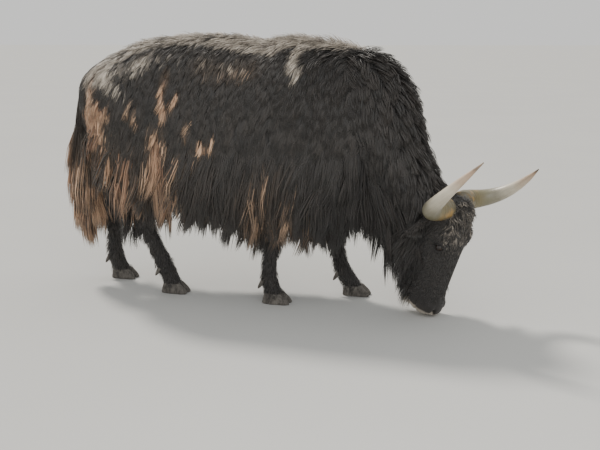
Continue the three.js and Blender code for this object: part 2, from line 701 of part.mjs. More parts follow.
// The group, with the middle of its box over the origin
const geometries = Object.entries(parts).map(([name, solid]) => [name, geometryOf(solid)]);
const whole = new THREE.Box3();
for (const [, geometry] of geometries) {
  geometry.computeBoundingBox();
  whole.union(geometry.boundingBox);
}
const middle = whole.getCenter(V(0, 0, 0));

const FINISHES = {
  coat: { color: 0x241a15, roughness: 0.9 },
  horn: { color: 0xcfc8b4, roughness: 0.45 },
  hoof: { color: 0x8d8478, roughness: 0.8 },
  eye: { color: 0x120c08, roughness: 0.08 },
};
function finishOf(name) {
  if (name.startsWith("horn")) return FINISHES.horn;
  if (name.startsWith("eye")) return FINISHES.eye;
  if (name.startsWith("hoof") || name.startsWith("dewclaw")) return FINISHES.hoof;
  return FINISHES.coat;
}
const yak = new THREE.Group();
for (const [name, geometry] of geometries) {
  geometry.translate(-middle.x, -middle.y, 0);
  const mesh = new THREE.Mesh(geometry, new THREE.MeshStandardMaterial({ ...finishOf(name), metalness: 0 }));
  mesh.name = name;
  yak.add(mesh);
}
export default yak;
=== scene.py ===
# %% [markdown]
# # A grazing yak, life size
# The solids of the packed model are the fixed frame: they say where the back, the horns and the hooves
# are. This script dresses them. One skin takes the place of the flesh, thousands of tapered tufts of hair
# grow on it along the lie of the coat, and the eyes, horns and hooves are pieces of their own.

import bpy
import numpy as np
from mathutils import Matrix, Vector
from mathutils.bvhtree import BVHTree
from mathutils.kdtree import KDTree


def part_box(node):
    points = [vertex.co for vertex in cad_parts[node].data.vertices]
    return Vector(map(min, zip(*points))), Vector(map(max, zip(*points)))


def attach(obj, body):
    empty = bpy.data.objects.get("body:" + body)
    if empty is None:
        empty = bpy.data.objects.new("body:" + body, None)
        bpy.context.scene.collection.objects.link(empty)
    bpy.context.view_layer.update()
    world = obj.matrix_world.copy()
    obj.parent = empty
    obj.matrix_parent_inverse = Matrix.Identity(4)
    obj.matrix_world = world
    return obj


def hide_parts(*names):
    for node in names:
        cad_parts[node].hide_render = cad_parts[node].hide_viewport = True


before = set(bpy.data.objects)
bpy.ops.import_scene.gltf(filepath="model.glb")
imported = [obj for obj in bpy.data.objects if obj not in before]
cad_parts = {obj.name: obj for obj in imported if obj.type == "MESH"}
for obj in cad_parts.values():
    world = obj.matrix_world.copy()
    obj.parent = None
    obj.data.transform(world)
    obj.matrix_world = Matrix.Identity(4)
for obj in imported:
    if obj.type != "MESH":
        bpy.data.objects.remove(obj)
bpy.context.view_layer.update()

# %% [markdown]
# ## Sizes
# The forms are worked out in millimetres, in the frame that the solids were designed in: +X is to the
# front and +Y to the animal's left. The solids were then centred over the origin, so the eye, whose
# design place is known, tells how far everything was moved.

# %% Head frame and the move from design to row
MM = 1000  # millimetres in a metre
# The head turns to the animal's right and its chin is tucked towards the chest
HEAD_TURN, HEAD_TUCK = np.radians(24), np.radians(16)
# The poll, between the horns, where the head's own measures start
HEAD_AT = np.array([1298.0, -171.0, 597.0])
UP = np.array([0.0, 0.0, 1.0])
AHEAD = np.array([np.cos(HEAD_TURN), -np.sin(HEAD_TURN), 0.0])
HEAD_LEFT = np.array([np.sin(HEAD_TURN), np.cos(HEAD_TURN), 0.0])
FACE_OUT = AHEAD * np.cos(HEAD_TUCK) - UP * np.sin(HEAD_TUCK)
FACE_DOWN = -AHEAD * np.sin(HEAD_TUCK) - UP * np.cos(HEAD_TUCK)
HEAD_AXES = np.array([HEAD_LEFT, FACE_OUT, FACE_DOWN])
EYE = {"left": 100, "out": 34, "down": 196, "radius": 22}


def in_head(left, out, down):
    """A place in the head's own frame: to its left, out of the forehead, down the face."""
    return HEAD_AT + np.stack(np.broadcast_arrays(left, out, down), -1) @ HEAD_AXES


def head_part(places):
    """The way back: places in millimetres to (left, out, down)."""
    return (places - HEAD_AT) @ HEAD_AXES.T


# The eye's place in the design, less the middle of its box in the row
eye_low, eye_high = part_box("eye_right")
SHIFT = in_head(-EYE["left"], EYE["out"], EYE["down"]) - np.array(eye_low + eye_high) * MM / 2
SHIFT[2] = 0


def to_row(places):
    """Design millimetres to metres of the row frame."""
    return (np.asarray(places, float) - SHIFT) / MM


def to_design(places):
    """Metres of the row frame to design millimetres."""
    return np.asarray(places, float) * MM + SHIFT


print("design to row, mm:", np.round(-SHIFT, 1))

# %% [markdown]
# ## Smooth tables
# A body is easiest to describe as rings along a line: a few rows of sizes, joined by smooth curves. The
# same helper serves the trunk, the neck, the legs and the lower edge of the hair.

# %% Profiles and rings
def profile(rows):
    """A smooth function through the rows of a table whose first column rises."""
    table = np.array(rows, float)
    x, y = table[:, 0], table[:, 1:]
    last = len(x) - 1
    before, after = np.maximum(np.arange(last + 1) - 1, 0), np.minimum(np.arange(last + 1) + 1, last)
    slope = (y[after] - y[before]) / (x[after] - x[before])[:, None]

    def at(value):
        value = np.clip(np.asarray(value, float), x[0], x[-1])
        i = np.clip(np.searchsorted(x, value, side="right") - 1, 0, last - 1)
        span = x[i + 1] - x[i]
        t = ((value - x[i]) / span)[..., None]
        span = span[..., None]
        from_low = (2 * t**3 - 3 * t**2 + 1) * y[i] + (t**3 - 2 * t**2 + t) * span * slope[i]
        return from_low + (3 * t**2 - 2 * t**3) * y[i + 1] + (t**3 - t**2) * span * slope[i + 1]

    return at


def unit(vectors):
    """The same directions with a length of 1."""
    return vectors / np.maximum(np.linalg.norm(vectors, axis=-1, keepdims=True), 1e-9)


def power(values, exponent):
    """A power that keeps the sign, to make ovals squarer or more pointed."""
    return np.sign(values) * np.abs(values) ** exponent


def turns(count):
    """Cosine and sine of the angles of a ring."""
    angle = np.linspace(0, 2 * np.pi, count, endpoint=False)
    return np.cos(angle), np.sin(angle)


def oval(centre, side, front, half_side, half_front, half_back, count, square=1.0):
    """Rings round the centres: half sizes to the side, the front and the back."""
    c, s = turns(count)
    across = np.multiply.outer(half_side, power(c, square))
    to_front = np.multiply.outer(half_front, power(s, square))
    to_back = np.multiply.outer(half_back, power(s, square))
    along = np.where(s > 0, to_front, to_back)
    return centre[:, None] + across[..., None] * side[:, None] + along[..., None] * front[:, None]


print("a table of 0, 4, 0 gives", profile([[0, 0], [1, 4], [2, 0]])(0.5)[0], "between its first two rows")

# %% [markdown]
# ## The trunk
# A yak's trunk is deep and narrow, with a hump over the shoulders. It could be sculpted, but the table of
# the solid gives its true sizes. The skin is drawn a little inside it, by `inset`, because the coat has to
# have room between the skin and the outline of the animal. Swellings are added for shoulder and haunch.

# %% Trunk
TRUNK_ENDS = (-868, 935)
# x, height of the back, height of the belly, half width, height of the widest line
TRUNK = profile([
    [-868, 1185, 1040, 60, 1110], [-840, 1222, 950, 125, 1090], [-780, 1272, 850, 175, 1060],
    [-700, 1312, 770, 218, 1030], [-600, 1350, 710, 246, 1000], [-480, 1398, 660, 262, 970],
    [-300, 1424, 620, 280, 930], [-100, 1438, 590, 296, 900], [100, 1428, 575, 300, 890],
    [260, 1408, 560, 288, 900], [380, 1424, 555, 276, 920], [540, 1402, 560, 258, 940],
    [670, 1380, 590, 236, 950], [800, 1338, 660, 200, 960], [880, 1270, 745, 158, 980],
    [935, 1180, 830, 100, 1000],
])
# Exponents of the section's height and width, above and below the widest line
HEIGHT_POWERS, WIDTH_POWERS = (0.92, 0.85), (1.1, 0.8)
# Swellings and hollows of the flanks: x, z, reach in x, reach in z, share of the half width
FLANK_FORMS = [
    (500, 1150, 170, 260, 0.16),
    (460, 800, 170, 200, 0.06),
    (-610, 1060, 200, 230, 0.1),
    (-300, 1130, 130, 170, -0.06),
]


def trunk_rings(inset, inset_on_top, steps=130, count=80):
    """Rings of the trunk from the rump to the chest."""
    x = np.linspace(TRUNK_ENDS[0] + inset, TRUNK_ENDS[1] - inset, steps)[:, None]
    top, bottom, half, widest = np.moveaxis(TRUNK(x), -1, 0)
    c, s = turns(count)
    rise = np.where(s > 0, top - widest - inset_on_top, widest - bottom - inset)
    z = widest + rise * power(s, np.where(s > 0, *HEIGHT_POWERS))
    y = (half - inset) * power(c, np.where(s > 0, *WIDTH_POWERS))
    swell = 1.0
    for at_x, at_z, reach_x, reach_z, share in FLANK_FORMS:
        swell = swell + share * np.exp(-(((x - at_x) / reach_x) ** 2) - ((z - at_z) / reach_z) ** 2)
    return np.stack([np.broadcast_to(x, z.shape), y * swell, z], -1)


print("trunk, mm:", np.ptp(trunk_rings(0, 0).reshape(-1, 3), axis=0).round().tolist())

# %% [markdown]
# ## The neck
# The neck of a grazing yak drops from the hump to the ground and bends to one side. A bent tube with equal
# ends could not follow it, so its rings stand square to a curve through a few joints, each with its sizes.

# %% Neck
# [x, y, z, half width, to the crest, to the throat] along its middle
NECK = [
    [560, 0, 1060, 200, 318, 330], [720, 0, 1010, 196, 348, 340], [860, -20, 920, 172, 286, 315],
    [980, -60, 810, 142, 170, 250], [1090, -105, 700, 118, 94, 190], [1170, -138, 610, 104, 76, 145],
    [1225, -150, 545, 94, 60, 110],
]


def along_joints(joints, steps):
    """Points, directions and sizes at even steps along joints whose first three numbers are a place."""
    table = profile([[i, *row] for i, row in enumerate(joints)])
    at = np.linspace(0, len(joints) - 1, steps)
    rows = table(at)
    ahead = unit(table(at + 0.01)[:, :3] - table(at - 0.01)[:, :3])
    return rows[:, :3], ahead, rows[:, 3:]


def neck_rings(inset, steps=70, count=56):
    """Rings of the neck from the withers to the poll."""
    centre, ahead, sizes = along_joints(NECK, steps)
    side = unit(np.cross(UP, ahead))
    crest = np.cross(ahead, side)
    half, to_crest, to_throat = sizes.T - inset
    return oval(centre, side, crest, half, to_crest, to_throat, count)


print("neck joints:", len(NECK))

# %% [markdown]
# ## The head
# The skull is long and wedge shaped, broad at the eyes and blunt at the muzzle. It is a loft down the face,
# in the head's own frame, so that a turn of the head moves every feature with it.

# %% Head
HEAD_ENDS = (-40, 598)
# Down the face: to the forehead side, to the jaw side, half width, squareness
HEAD = profile([
    [-40, 30, 50, 60, 0.9], [-20, 58, 95, 92, 0.88], [30, 78, 140, 114, 0.85], [90, 84, 165, 118, 0.85],
    [150, 88, 185, 122, 0.85], [190, 90, 196, 116, 0.85], [230, 86, 202, 112, 0.85],
    [300, 82, 196, 98, 0.85], [380, 78, 168, 84, 0.82], [460, 74, 132, 76, 0.78],
    [530, 78, 106, 84, 0.74], [572, 72, 92, 82, 0.74], [598, 50, 62, 60, 0.78],
])


def head_rings(inset, steps=110, count=72):
    """Rings of the head from the poll to the muzzle."""
    down = np.linspace(HEAD_ENDS[0] + inset, HEAD_ENDS[1] - inset, steps)
    front, back, half, square = HEAD(down).T
    c, s = turns(count)
    across = (half - inset)[:, None] * power(c, square[:, None])
    out = np.where(s > 0, (front - inset)[:, None], (back - inset)[:, None]) * power(s, square[:, None])
    return in_head(across, out, np.broadcast_to(down[:, None], out.shape))


print("head, mm:", HEAD_ENDS[1] - HEAD_ENDS[0], "long")

# %% [markdown]
# ## Legs and tail
# Legs and tail are tubes through joints, as the neck is. The joints stand at the bends that a bone makes:
# elbow and knee in front, stifle and hock behind, and the fetlocks. One function lofts all five.

# %% Legs and tail
# Joints from hip or shoulder to the top of the hoof, [x, y, z, half depth, half width]
LEGS = {
    "front_right": [
        [420, -170, 900, 130, 80], [315, -175, 650, 100, 66], [318, -155, 480, 66, 52],
        [322, -146, 345, 52, 45], [300, -140, 230, 39, 35], [298, -138, 125, 46, 42],
        [330, -138, 40, 46, 47],
    ],
    "front_left": [
        [520, 170, 900, 130, 80], [480, 175, 650, 100, 66], [545, 160, 480, 66, 52],
        [585, 152, 345, 52, 45], [612, 150, 230, 39, 35], [645, 150, 125, 46, 42],
        [708, 150, 40, 46, 47],
    ],
    "hind_right": [
        [-600, -140, 1000, 190, 100], [-470, -175, 760, 150, 85], [-455, -145, 580, 92, 60],
        [-468, -122, 430, 62, 45], [-410, -112, 300, 41, 37], [-335, -106, 140, 47, 43],
        [-290, -105, 40, 46, 47],
    ],
    "hind_left": [
        [-640, 140, 1000, 190, 100], [-600, 175, 760, 150, 85], [-690, 145, 580, 92, 60],
        [-775, 122, 425, 62, 45], [-778, 112, 290, 41, 37], [-772, 106, 135, 47, 43],
        [-724, 105, 40, 46, 47],
    ],
}
TAIL = [
    [-820, 0, 1165, 46, 44], [-872, 0, 1115, 44, 44], [-896, 0, 1020, 42, 42], [-905, 0, 900, 44, 42],
    [-908, 0, 760, 46, 42], [-905, 0, 620, 40, 36], [-900, 0, 520, 22, 22],
]
FORE = np.array([1.0, 0.0, 0.0])


def limb_rings(joints, inset, steps=70, count=36):
    """Rings of a leg or the tail from its top to its end."""
    centre, ahead, sizes = along_joints(joints, steps)
    side = unit(np.cross(ahead, FORE))
    front = unit(np.cross(side, ahead))
    depth, width = sizes.T - inset
    return oval(centre, side, front, width, depth, depth, count, 0.9)


print("legs:", len(LEGS), "and tail joints:", len(TAIL))

# %% [markdown]
# ## The shape of an ear
# An ear is a cupped leaf that droops from behind the horn. Its rings are flat ovals bent into a cup, which
# a plain ellipsoid would not give.

# %% Ear shape
EAR = {"left": 74, "out": -78, "down": 62, "length": 180}
# Share of the length: half width, thickness
EAR_SHAPE = profile([[0, 26, 13], [0.2, 29, 11], [0.5, 39, 9], [0.8, 26, 6], [1, 8, 3]])
# Shares of sideways, out and down in its line, of out and down where it opens, and its cup by half width
EAR_ALONG, EAR_OPENS, EAR_CUP = (0.86, -0.12, 0.5), (0.8, 0.35), 0.7


def ear_frame(sign):
    """Root of an ear and its directions: along it, across it, and out of its cup."""
    along = unit(HEAD_LEFT * sign * EAR_ALONG[0] + FACE_OUT * EAR_ALONG[1] + FACE_DOWN * EAR_ALONG[2])
    across = unit(np.cross(along, FACE_OUT * EAR_OPENS[0] + FACE_DOWN * EAR_OPENS[1]))
    root = in_head(sign * EAR["left"], EAR["out"], EAR["down"])
    return root, along, across, np.cross(across, along)


def ear_rings(sign, steps=30, count=28):
    """Rings of an ear, 4 mm shorter and 1.5 mm narrower than the solid's."""
    root, along, across, facing = ear_frame(sign)
    t = np.linspace(0, 1, steps)
    half, thick = EAR_SHAPE(t).T
    c, s = turns(count)
    u = c[None, :]
    cup = half[:, None] * EAR_CUP * u * u
    skin = np.where(s > 0, thick[:, None] * 0.35 * s, thick[:, None] * s * (1 - u * u * 0.5))
    centre = root + np.multiply.outer(t * (EAR["length"] - 4), along)
    wide = (half - 1.5)[:, None] * u
    return centre[:, None] + wide[..., None] * across + (cup + skin)[..., None] * facing


print("ear rings:", ear_rings(1).shape[:2])

# %% [markdown]
# ## One skin
# Overlapping closed lofts could be joined by Booleans, but those leave sharp creases at every root. A
# voxel remesh melts them into one closed skin, and a few rounds of averaging soften the joins where a leg
# or the neck runs into the trunk. The head is averaged least, because its lids and lips are small.

# %% Meshes from rings
def loft_faces(steps, count):
    """Quads round a loft and a polygon on each end."""
    index = np.arange(steps * count).reshape(steps, count)
    after = np.roll(index, -1, 1)
    quads = np.stack([index[:-1], after[:-1], after[1:], index[1:]], -1).reshape(-1, 4)
    return [*quads.tolist(), index[0, ::-1].tolist(), index[-1].tolist()]


def join_lofts(lofts):
    """All the lofts as one list of places and one of faces."""
    places, faces, base = [], [], 0
    for rings in lofts:
        faces += [[i + base for i in face] for face in loft_faces(*rings.shape[:2])]
        places.append(rings.reshape(-1, 3))
        base += len(places[-1])
    return np.concatenate(places), faces


def smooth_object(name, mesh):
    """Shades a mesh smooth and puts it into the scene."""
    mesh.shade_smooth()
    made = bpy.data.objects.new(name, mesh)
    bpy.context.scene.collection.objects.link(made)
    return made


def from_places(name, places, faces):
    """A smooth mesh object from design millimetres."""
    mesh = bpy.data.meshes.new(name)
    mesh.from_pydata(to_row(places).tolist(), [], faces)
    return smooth_object(name, mesh)


def enrol(made, slot, *nodes):
    """Every piece rides on the root body, and the solids that it takes the place of are hidden. The slot is
    not used.
    """
    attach(made, "root")
    if nodes:
        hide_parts(*nodes)
    return made


print("faces of a loft of 3 rings of 4:", len(loft_faces(3, 4)))

# %% [markdown]
# ## Forms of the face
# Brows, cheeks, chin, lips and lids stand out from the skull. Sculpting them by hand could not be repeated,
# so each is an egg or a tube laid over the loft of the head, and the melt joins them into it.

# %% Eggs and tubes
def egg(centre, axes, halves, steps=16, count=24):
    """An ellipsoid as rings."""
    angle = np.linspace(0.02, np.pi - 0.02, steps)
    c, s = turns(count)
    axes = np.array(axes) * np.array(halves)[:, None]
    sine, cosine = np.sin(angle)[:, None], np.cos(angle)[:, None]
    ball = np.stack(np.broadcast_arrays(sine * c, sine * s, cosine), -1)
    return centre + ball @ axes


def tube(centres, radii, count=12):
    """Round rings along a path."""
    ahead = unit(np.gradient(centres, axis=0))
    side = unit(np.cross(ahead, UP + 0.01 * FORE))
    radii = np.broadcast_to(radii, len(centres))
    return oval(centres, side, np.cross(side, ahead), radii, radii, radii, count)

# %% Forms of the face
SIDES = {"right": -1, "left": 1}
# Places and half sizes in the head's frame: nose pad, chin and lips, then brow, cheek and nostril wing
MIDDLE_FORMS = [((0, 60, 556), (56, 22, 40)), ((0, -50, 552), (50, 44, 42)), ((0, -6, 560), (76, 46, 34))]
PAIRED_FORMS = [
    ((62, 58, 150), (46, 34, 62)),
    ((72, -110, 235), (40, 72, 105)),
    ((52, 40, 545), (32, 34, 40)),
]
# A lid's thickness, the stretch of its arc in half turns, and how far it is set up
LIDS = [(12.5, (-0.15, 1.15), 3), (8, (1.0, 2.0), 0)]
LID_HALVES, LID_STEPS = (28, 19), 15


def lid(sign, thick, sweep, raised):
    """A tube round the eye, thinner towards its ends."""
    angle = np.pi * np.linspace(*sweep, LID_STEPS)
    out = EYE["out"] + LID_HALVES[0] * np.cos(angle)
    down = EYE["down"] - LID_HALVES[1] * np.sin(angle) - raised
    left = sign * (EYE["left"] + 11 - 7 * np.abs(np.cos(angle)))
    return tube(in_head(left, out, down), thick * (0.6 + 0.4 * np.sin(np.linspace(0, np.pi, LID_STEPS))))


face_forms = [egg(in_head(*place), HEAD_AXES, halves) for place, halves in MIDDLE_FORMS]
for sign in SIDES.values():
    for (left, out, down), halves in PAIRED_FORMS:
        face_forms.append(egg(in_head(sign * left, out, down), HEAD_AXES, halves))
    face_forms += [lid(sign, *sizes) for sizes in LIDS]
print("forms of the face:", len(face_forms))

# %% [markdown]
# ## The flesh
# All the parts of the body come together here, each drawn in by the room that its hair needs. The tail is
# narrower under its brush, and set forwards at the top so that it runs into the rump.

# %% The parts of the body
TRUNK_INSET, TOP_INSET, NECK_INSET, HEAD_INSET, LEG_INSET, TAIL_INSET = 12, 2, 5, 3, 4, 12
TAIL_TOP, TAIL_FORWARD, TAIL_NARROWER = 900, 12, 6
tail_joints = [
    [x + (TAIL_FORWARD if z > TAIL_TOP else 0), y, z, depth, width - TAIL_NARROWER]
    for x, y, z, depth, width in TAIL
]
flesh = {
    "trunk": trunk_rings(TRUNK_INSET, TOP_INSET),
    "neck": neck_rings(NECK_INSET),
    "head": head_rings(HEAD_INSET),
    "tail": limb_rings(tail_joints, TAIL_INSET, 60, 28),
    **{name: limb_rings(joints, LEG_INSET) for name, joints in LEGS.items()},
}
PARTS = list(flesh)
print("flesh:", {name: rings.shape[:2] for name, rings in flesh.items()})

# %% Melt the flesh into one skin
VOXEL = 0.0065
SKIN_NODES = ["torso", "neck", "head", "tail", *(f"leg_{name}" for name in LEGS)]
raw = from_places("raw", *join_lofts([*flesh.values(), *face_forms]))
melt = raw.modifiers.new("melt", "REMESH")
melt.mode, melt.voxel_size = "VOXEL", VOXEL
skin_mesh = bpy.data.meshes.new_from_object(raw.evaluated_get(bpy.context.evaluated_depsgraph_get()))
bpy.data.objects.remove(raw)
print("skin:", len(skin_mesh.vertices), "places,", len(skin_mesh.polygons), "faces")

# %% [markdown]
# ## Softening the joins
# Under a hide, muscles run into each other without creases. Blender's Smooth modifier would soften all
# parts alike, so the averaging is done here, with a weight for each place that spares the head.

# %% Averaging
SOFTEN, SPARE_HEAD, SOFTEN_ROUNDS = 0.6, 0.85, 12


def coordinates(mesh):
    """The mesh's places as rows of three numbers."""
    flat = np.empty(len(mesh.vertices) * 3)
    mesh.vertices.foreach_get("co", flat)
    return flat.reshape(-1, 3)


def neighbours(mesh):
    """The two places at the ends of each edge."""
    ends = np.empty(len(mesh.edges) * 2, np.int64)
    mesh.edges.foreach_get("vertices", ends)
    return ends.reshape(-1, 2)


def averaged(places, ends, amount, rounds):
    """Moves each place towards the mean of those it shares an edge with."""
    count = len(places)
    here, there = np.concatenate([ends, ends[:, ::-1]]).T
    degree = np.bincount(here, minlength=count)[:, None]
    for _ in range(rounds):
        total = np.stack([np.bincount(here, places[there, k], count) for k in range(3)], -1)
        places = places + amount * (total / degree - places)
    return places


def ease(value, low, high):
    """0 below low, 1 above high, and a smooth step between."""
    t = np.clip((value - low) / (high - low), 0, 1)
    return t * t * (3 - 2 * t)


skin_at = to_design(coordinates(skin_mesh))
on_head = head_part(skin_at)
headness = ease(on_head[:, 1], -150, -60) * ease(on_head[:, 2], -70, 20) * (skin_at[:, 0] > 1000)
amount = (SOFTEN * (1 - SPARE_HEAD * headness))[:, None]
skin_at = averaged(skin_at, neighbours(skin_mesh), amount, SOFTEN_ROUNDS)
print("places of the skin on the head:", int((headness > 0.5).sum()))

# %% [markdown]
# ## Features too small for the melt
# The mouth, the nostrils, the eye openings and the folds of the muzzle are pressed into the finished
# skin. Each is a smooth dent in the head's frame, so that it keeps its place if the head moves.

# %% Press in mouth, nostrils and eye openings
# Places, half sizes and depths of the dents, in millimetres of the head's frame
MOUTH = {"out": -24, "down": 560, "slope": 0.12, "half": 5, "depth": 9}
NOSTRIL = {"left": 46, "out": 74, "down": 570, "halves": (17, 26, 20), "depth": 22}
OPENING = {"left": 112, "halves": (40, 24, 15), "depth": 15}
LID_FOLD = {"out": 42, "down": 34, "half": 0.13, "height": 5}
WRINKLE_DEPTH = 1.2


def dent(at, middle, halves):
    """1 in the middle of an ellipsoid, 0 outside it."""
    return np.clip(1 - (((at - np.array(middle)) / np.array(halves)) ** 2).sum(-1), 0, 1)


def press_face(places):
    """Moves places of the head: dents go in towards the middle of the head, the lid's fold comes out."""
    at = head_part(places)
    left, out, down = at.T
    centre_line = np.stack([np.zeros(len(at)), np.zeros(len(at)), np.minimum(down, 520)], -1)
    inward = unit(centre_line - at) @ HEAD_AXES
    from_mouth = out - MOUTH["out"] + MOUTH["slope"] * (down - MOUTH["down"])
    mouth = np.exp(-((from_mouth / MOUTH["half"]) ** 2)) * ease(down, 470, 520) * MOUTH["depth"]
    moved = places + inward * mouth[:, None]
    for sign in SIDES.values():
        nostril = dent(at, (sign * NOSTRIL["left"], NOSTRIL["out"], NOSTRIL["down"]), NOSTRIL["halves"])
        moved += inward * (NOSTRIL["depth"] * nostril**0.7)[:, None]
        opening = dent(at, (sign * OPENING["left"], EYE["out"], EYE["down"]), OPENING["halves"])
        moved -= np.outer(sign * OPENING["depth"] * opening**0.5, HEAD_LEFT)
        from_eye = np.hypot((out - EYE["out"]) / LID_FOLD["out"], (down - EYE["down"]) / LID_FOLD["down"])
        above = ease(-down, -EYE["down"] - 12, -EYE["down"] + 4)
        fold = np.exp(-(((from_eye - 1) / LID_FOLD["half"]) ** 2)) * above
        moved -= np.outer(sign * LID_FOLD["height"] * fold * (left * sign > 60), HEAD_LEFT)
    wrinkle = np.sin(down * 0.42 + 1.5 * np.sin(left * 0.05)) * ease(down, 470, 500) * ease(-down, -555, -535)
    return moved + inward * (WRINKLE_DEPTH * wrinkle * ease(out, -10, 20))[:, None]


pressed = np.where((headness > 0.01)[:, None], press_face(skin_at), skin_at)
print("deepest dent or fold, mm:", round(float(np.abs(pressed - skin_at).max()), 1))
skin_at = pressed
skin_mesh.vertices.foreach_set("co", to_row(skin_at).ravel())
skin_mesh.update()
skin = enrol(smooth_object("skin", skin_mesh), "coat", *SKIN_NODES)

# %% [markdown]
# ## Where on the body am I?
# The lie, the length and the colour of the hair depend on the part of the body. Each place on the skin
# takes the part, the share of the way along it and the turn round it from the nearest ring of the lofts.
# The same address also places each tuft in its part's own field of the OFBake map.

# %% An address for each place on the skin
FIELDS = {  # corner and size of each part's field of the map
    "trunk": (0.0, 0.5, 1.0, 0.5), "neck": (0.0, 0.28, 0.5, 0.21), "head": (0.5, 0.28, 0.5, 0.21),
    "tail": (0.0, 0.0, 0.19, 0.27), "front_right": (0.2, 0.0, 0.14, 0.27),
    "front_left": (0.35, 0.0, 0.14, 0.27), "hind_right": (0.5, 0.0, 0.14, 0.27),
    "hind_left": (0.65, 0.0, 0.14, 0.27), "ears": (0.8, 0.0, 0.19, 0.27),
}


def nearest_of(places):
    """A function that gives the number of the nearest of these places, for each place that it is asked."""
    tree = KDTree(len(places))
    for number, place in enumerate(places.tolist()):
        tree.insert(place, number)
    tree.balance()
    return lambda asked: np.array([tree.find(place)[1] for place in asked.tolist()])


def loft_address(number, steps, count):
    """Part number, share along and turn round, for every corner of a loft."""
    along, turn = np.meshgrid(np.arange(steps) / (steps - 1), np.arange(count) / count, indexing="ij")
    return np.stack([np.full(steps * count, number), along.ravel(), turn.ravel()], -1)


nearest_corner = nearest_of(np.concatenate([rings.reshape(-1, 3) for rings in flesh.values()]))
address_rows = np.concatenate([loft_address(i, *rings.shape[:2]) for i, rings in enumerate(flesh.values())])


def address(places):
    """Part number, share along and turn round, for places in design millimetres."""
    return address_rows[nearest_corner(places)]


def map_place(part_name, along, turn):
    """Places on the OFBake map."""
    low_u, low_v, size_u, size_v = FIELDS[part_name]
    return np.stack([low_u + size_u * (0.01 + 0.97 * turn), low_v + size_v * (0.01 + 0.97 * along)], -1)


print("addresses:", len(address_rows))

# %% [markdown]
# ## Markings
# The coat is black-brown. It bleaches to chestnut in tufts on the flank, down the breeches and at the tail's
# tips, and it is grey and silvery on the back, the rump and the rim of the muzzle. On the top of the back,
# the crest over the hump and the rump that pale is partly painted highlight, where light from behind falls on
# the hair. One function gives both amounts at any place, and skin and coat both ask it, so they always agree.

# %% Rust and silver
RUST = [  # line of places (x, z) on the flank, radius, amount
    ([(-256, 1225), (-264, 1165), (-279, 1090), (-256, 1010)], 24, 1.0),
    ([(-175, 1110), (-214, 1040), (-250, 1005)], 20, 0.85),
    ([(-109, 970), (-128, 895)], 24, 0.42),
    ([(-299, 880), (-290, 803), (-306, 727), (-290, 660)], 52, 0.95),
    ([(-300, 682), (-250, 595), (-215, 540)], 44, 0.8),
    ([(-215, 540), (-165, 478), (-120, 430)], 60, 0.5),
    ([(-63, 804), (21, 845)], 34, 0.85),
    ([(-743, 986), (-677, 985), (-614, 1010)], 42, 0.8),
    ([(-738, 1175), (-722, 1110), (-706, 1045), (-740, 1000), (-735, 930), (-735, 840)], 40, 0.85),
    ([(-658, 1000), (-657, 926), (-657, 859)], 30, 0.8),
    ([(-720, 970), (-697, 907), (-663, 813), (-600, 710), (-550, 635), (-495, 545)], 56, 1.0),
    ([(-495, 545), (-471, 470)], 34, 0.7),
    ([(-457, 1025), (-417, 962)], 28, 0.4),
    ([(330, 560), (520, 420), (540, 330)], 120, 0.4),
    ([(-56, 1266), (86, 1232), (216, 1258)], 70, 0.28),
    ([(-350, 620), (-100, 540), (150, 500), (420, 450)], 150, 0.2),
    ([(-560, 860), (-500, 760), (-440, 660)], 100, 0.16),
]
# Line of places (x, z), radius, amount. The first, the crest over the hump, is painted highlight where light
# from behind catches the hair; the others, on the back and the rump, are grey hair with painted highlight
# over it
SILVER_AND_HIGHLIGHT_LINES = [
    ([(760, 1390), (625, 1392), (540, 1388), (469, 1375), (442, 1324), (444, 1280), (480, 1215)], 30, 1.0),
    ([(-649, 1200), (-600, 1165), (-539, 1130), (-500, 1108)], 38, 0.62),
    ([(-780, 1205), (-733, 1242), (-667, 1296)], 40, 0.6),
    ([(-760, 1150), (-712, 1080)], 48, 0.34),
    ([(-700, 1200), (-604, 1250), (-512, 1245), (-440, 1275)], 62, 0.56),
    ([(-420, 1290), (-120, 1300), (20, 1250), (200, 1280)], 60, 0.32),
]
# Above this edge the top of the back is painted pale: a painted highlight of the light that falls on it from
# above and behind
LIT_RIDGE_EDGE = profile([
    [-820, 1190], [-700, 1230], [-600, 1262], [-487, 1318], [-415, 1340], [-360, 1354], [-221, 1374],
    [-9, 1364], [193, 1336], [311, 1322], [409, 1356], [600, 1374], [760, 1384],
])
RUMP_SWIRL = [(-771, 1120), (-690, 1210), (-560, 1270)]


def near_line(x, z, line):
    """Distance from a line of places."""
    best = np.full(len(x), 1e9)
    for (x0, z0), (x1, z1) in zip(line, line[1:]):
        reach = np.array([x1 - x0, z1 - z0], float)
        t = np.clip(((x - x0) * reach[0] + (z - z0) * reach[1]) / (reach @ reach), 0, 1)
        best = np.minimum(best, np.hypot(x - x0 - t * reach[0], z - z0 - t * reach[1]))
    return best


# LIT_RIDGE_AMOUNT is how strong the painted highlight along the top of the back is
FLANK_FROM, LEFT_SET_BACK, LIT_RIDGE_AMOUNT, BROW_AMOUNT, LEGS_AMOUNT = (60, 130), 45.0, 0.8, 0.42, 0.1


def amount_near(x, z, lines):
    """Sum of the soft bands round the lines of a table."""
    return sum(amount * np.exp(-((near_line(x, z, line) / radius) ** 2)) for line, radius, amount in lines)


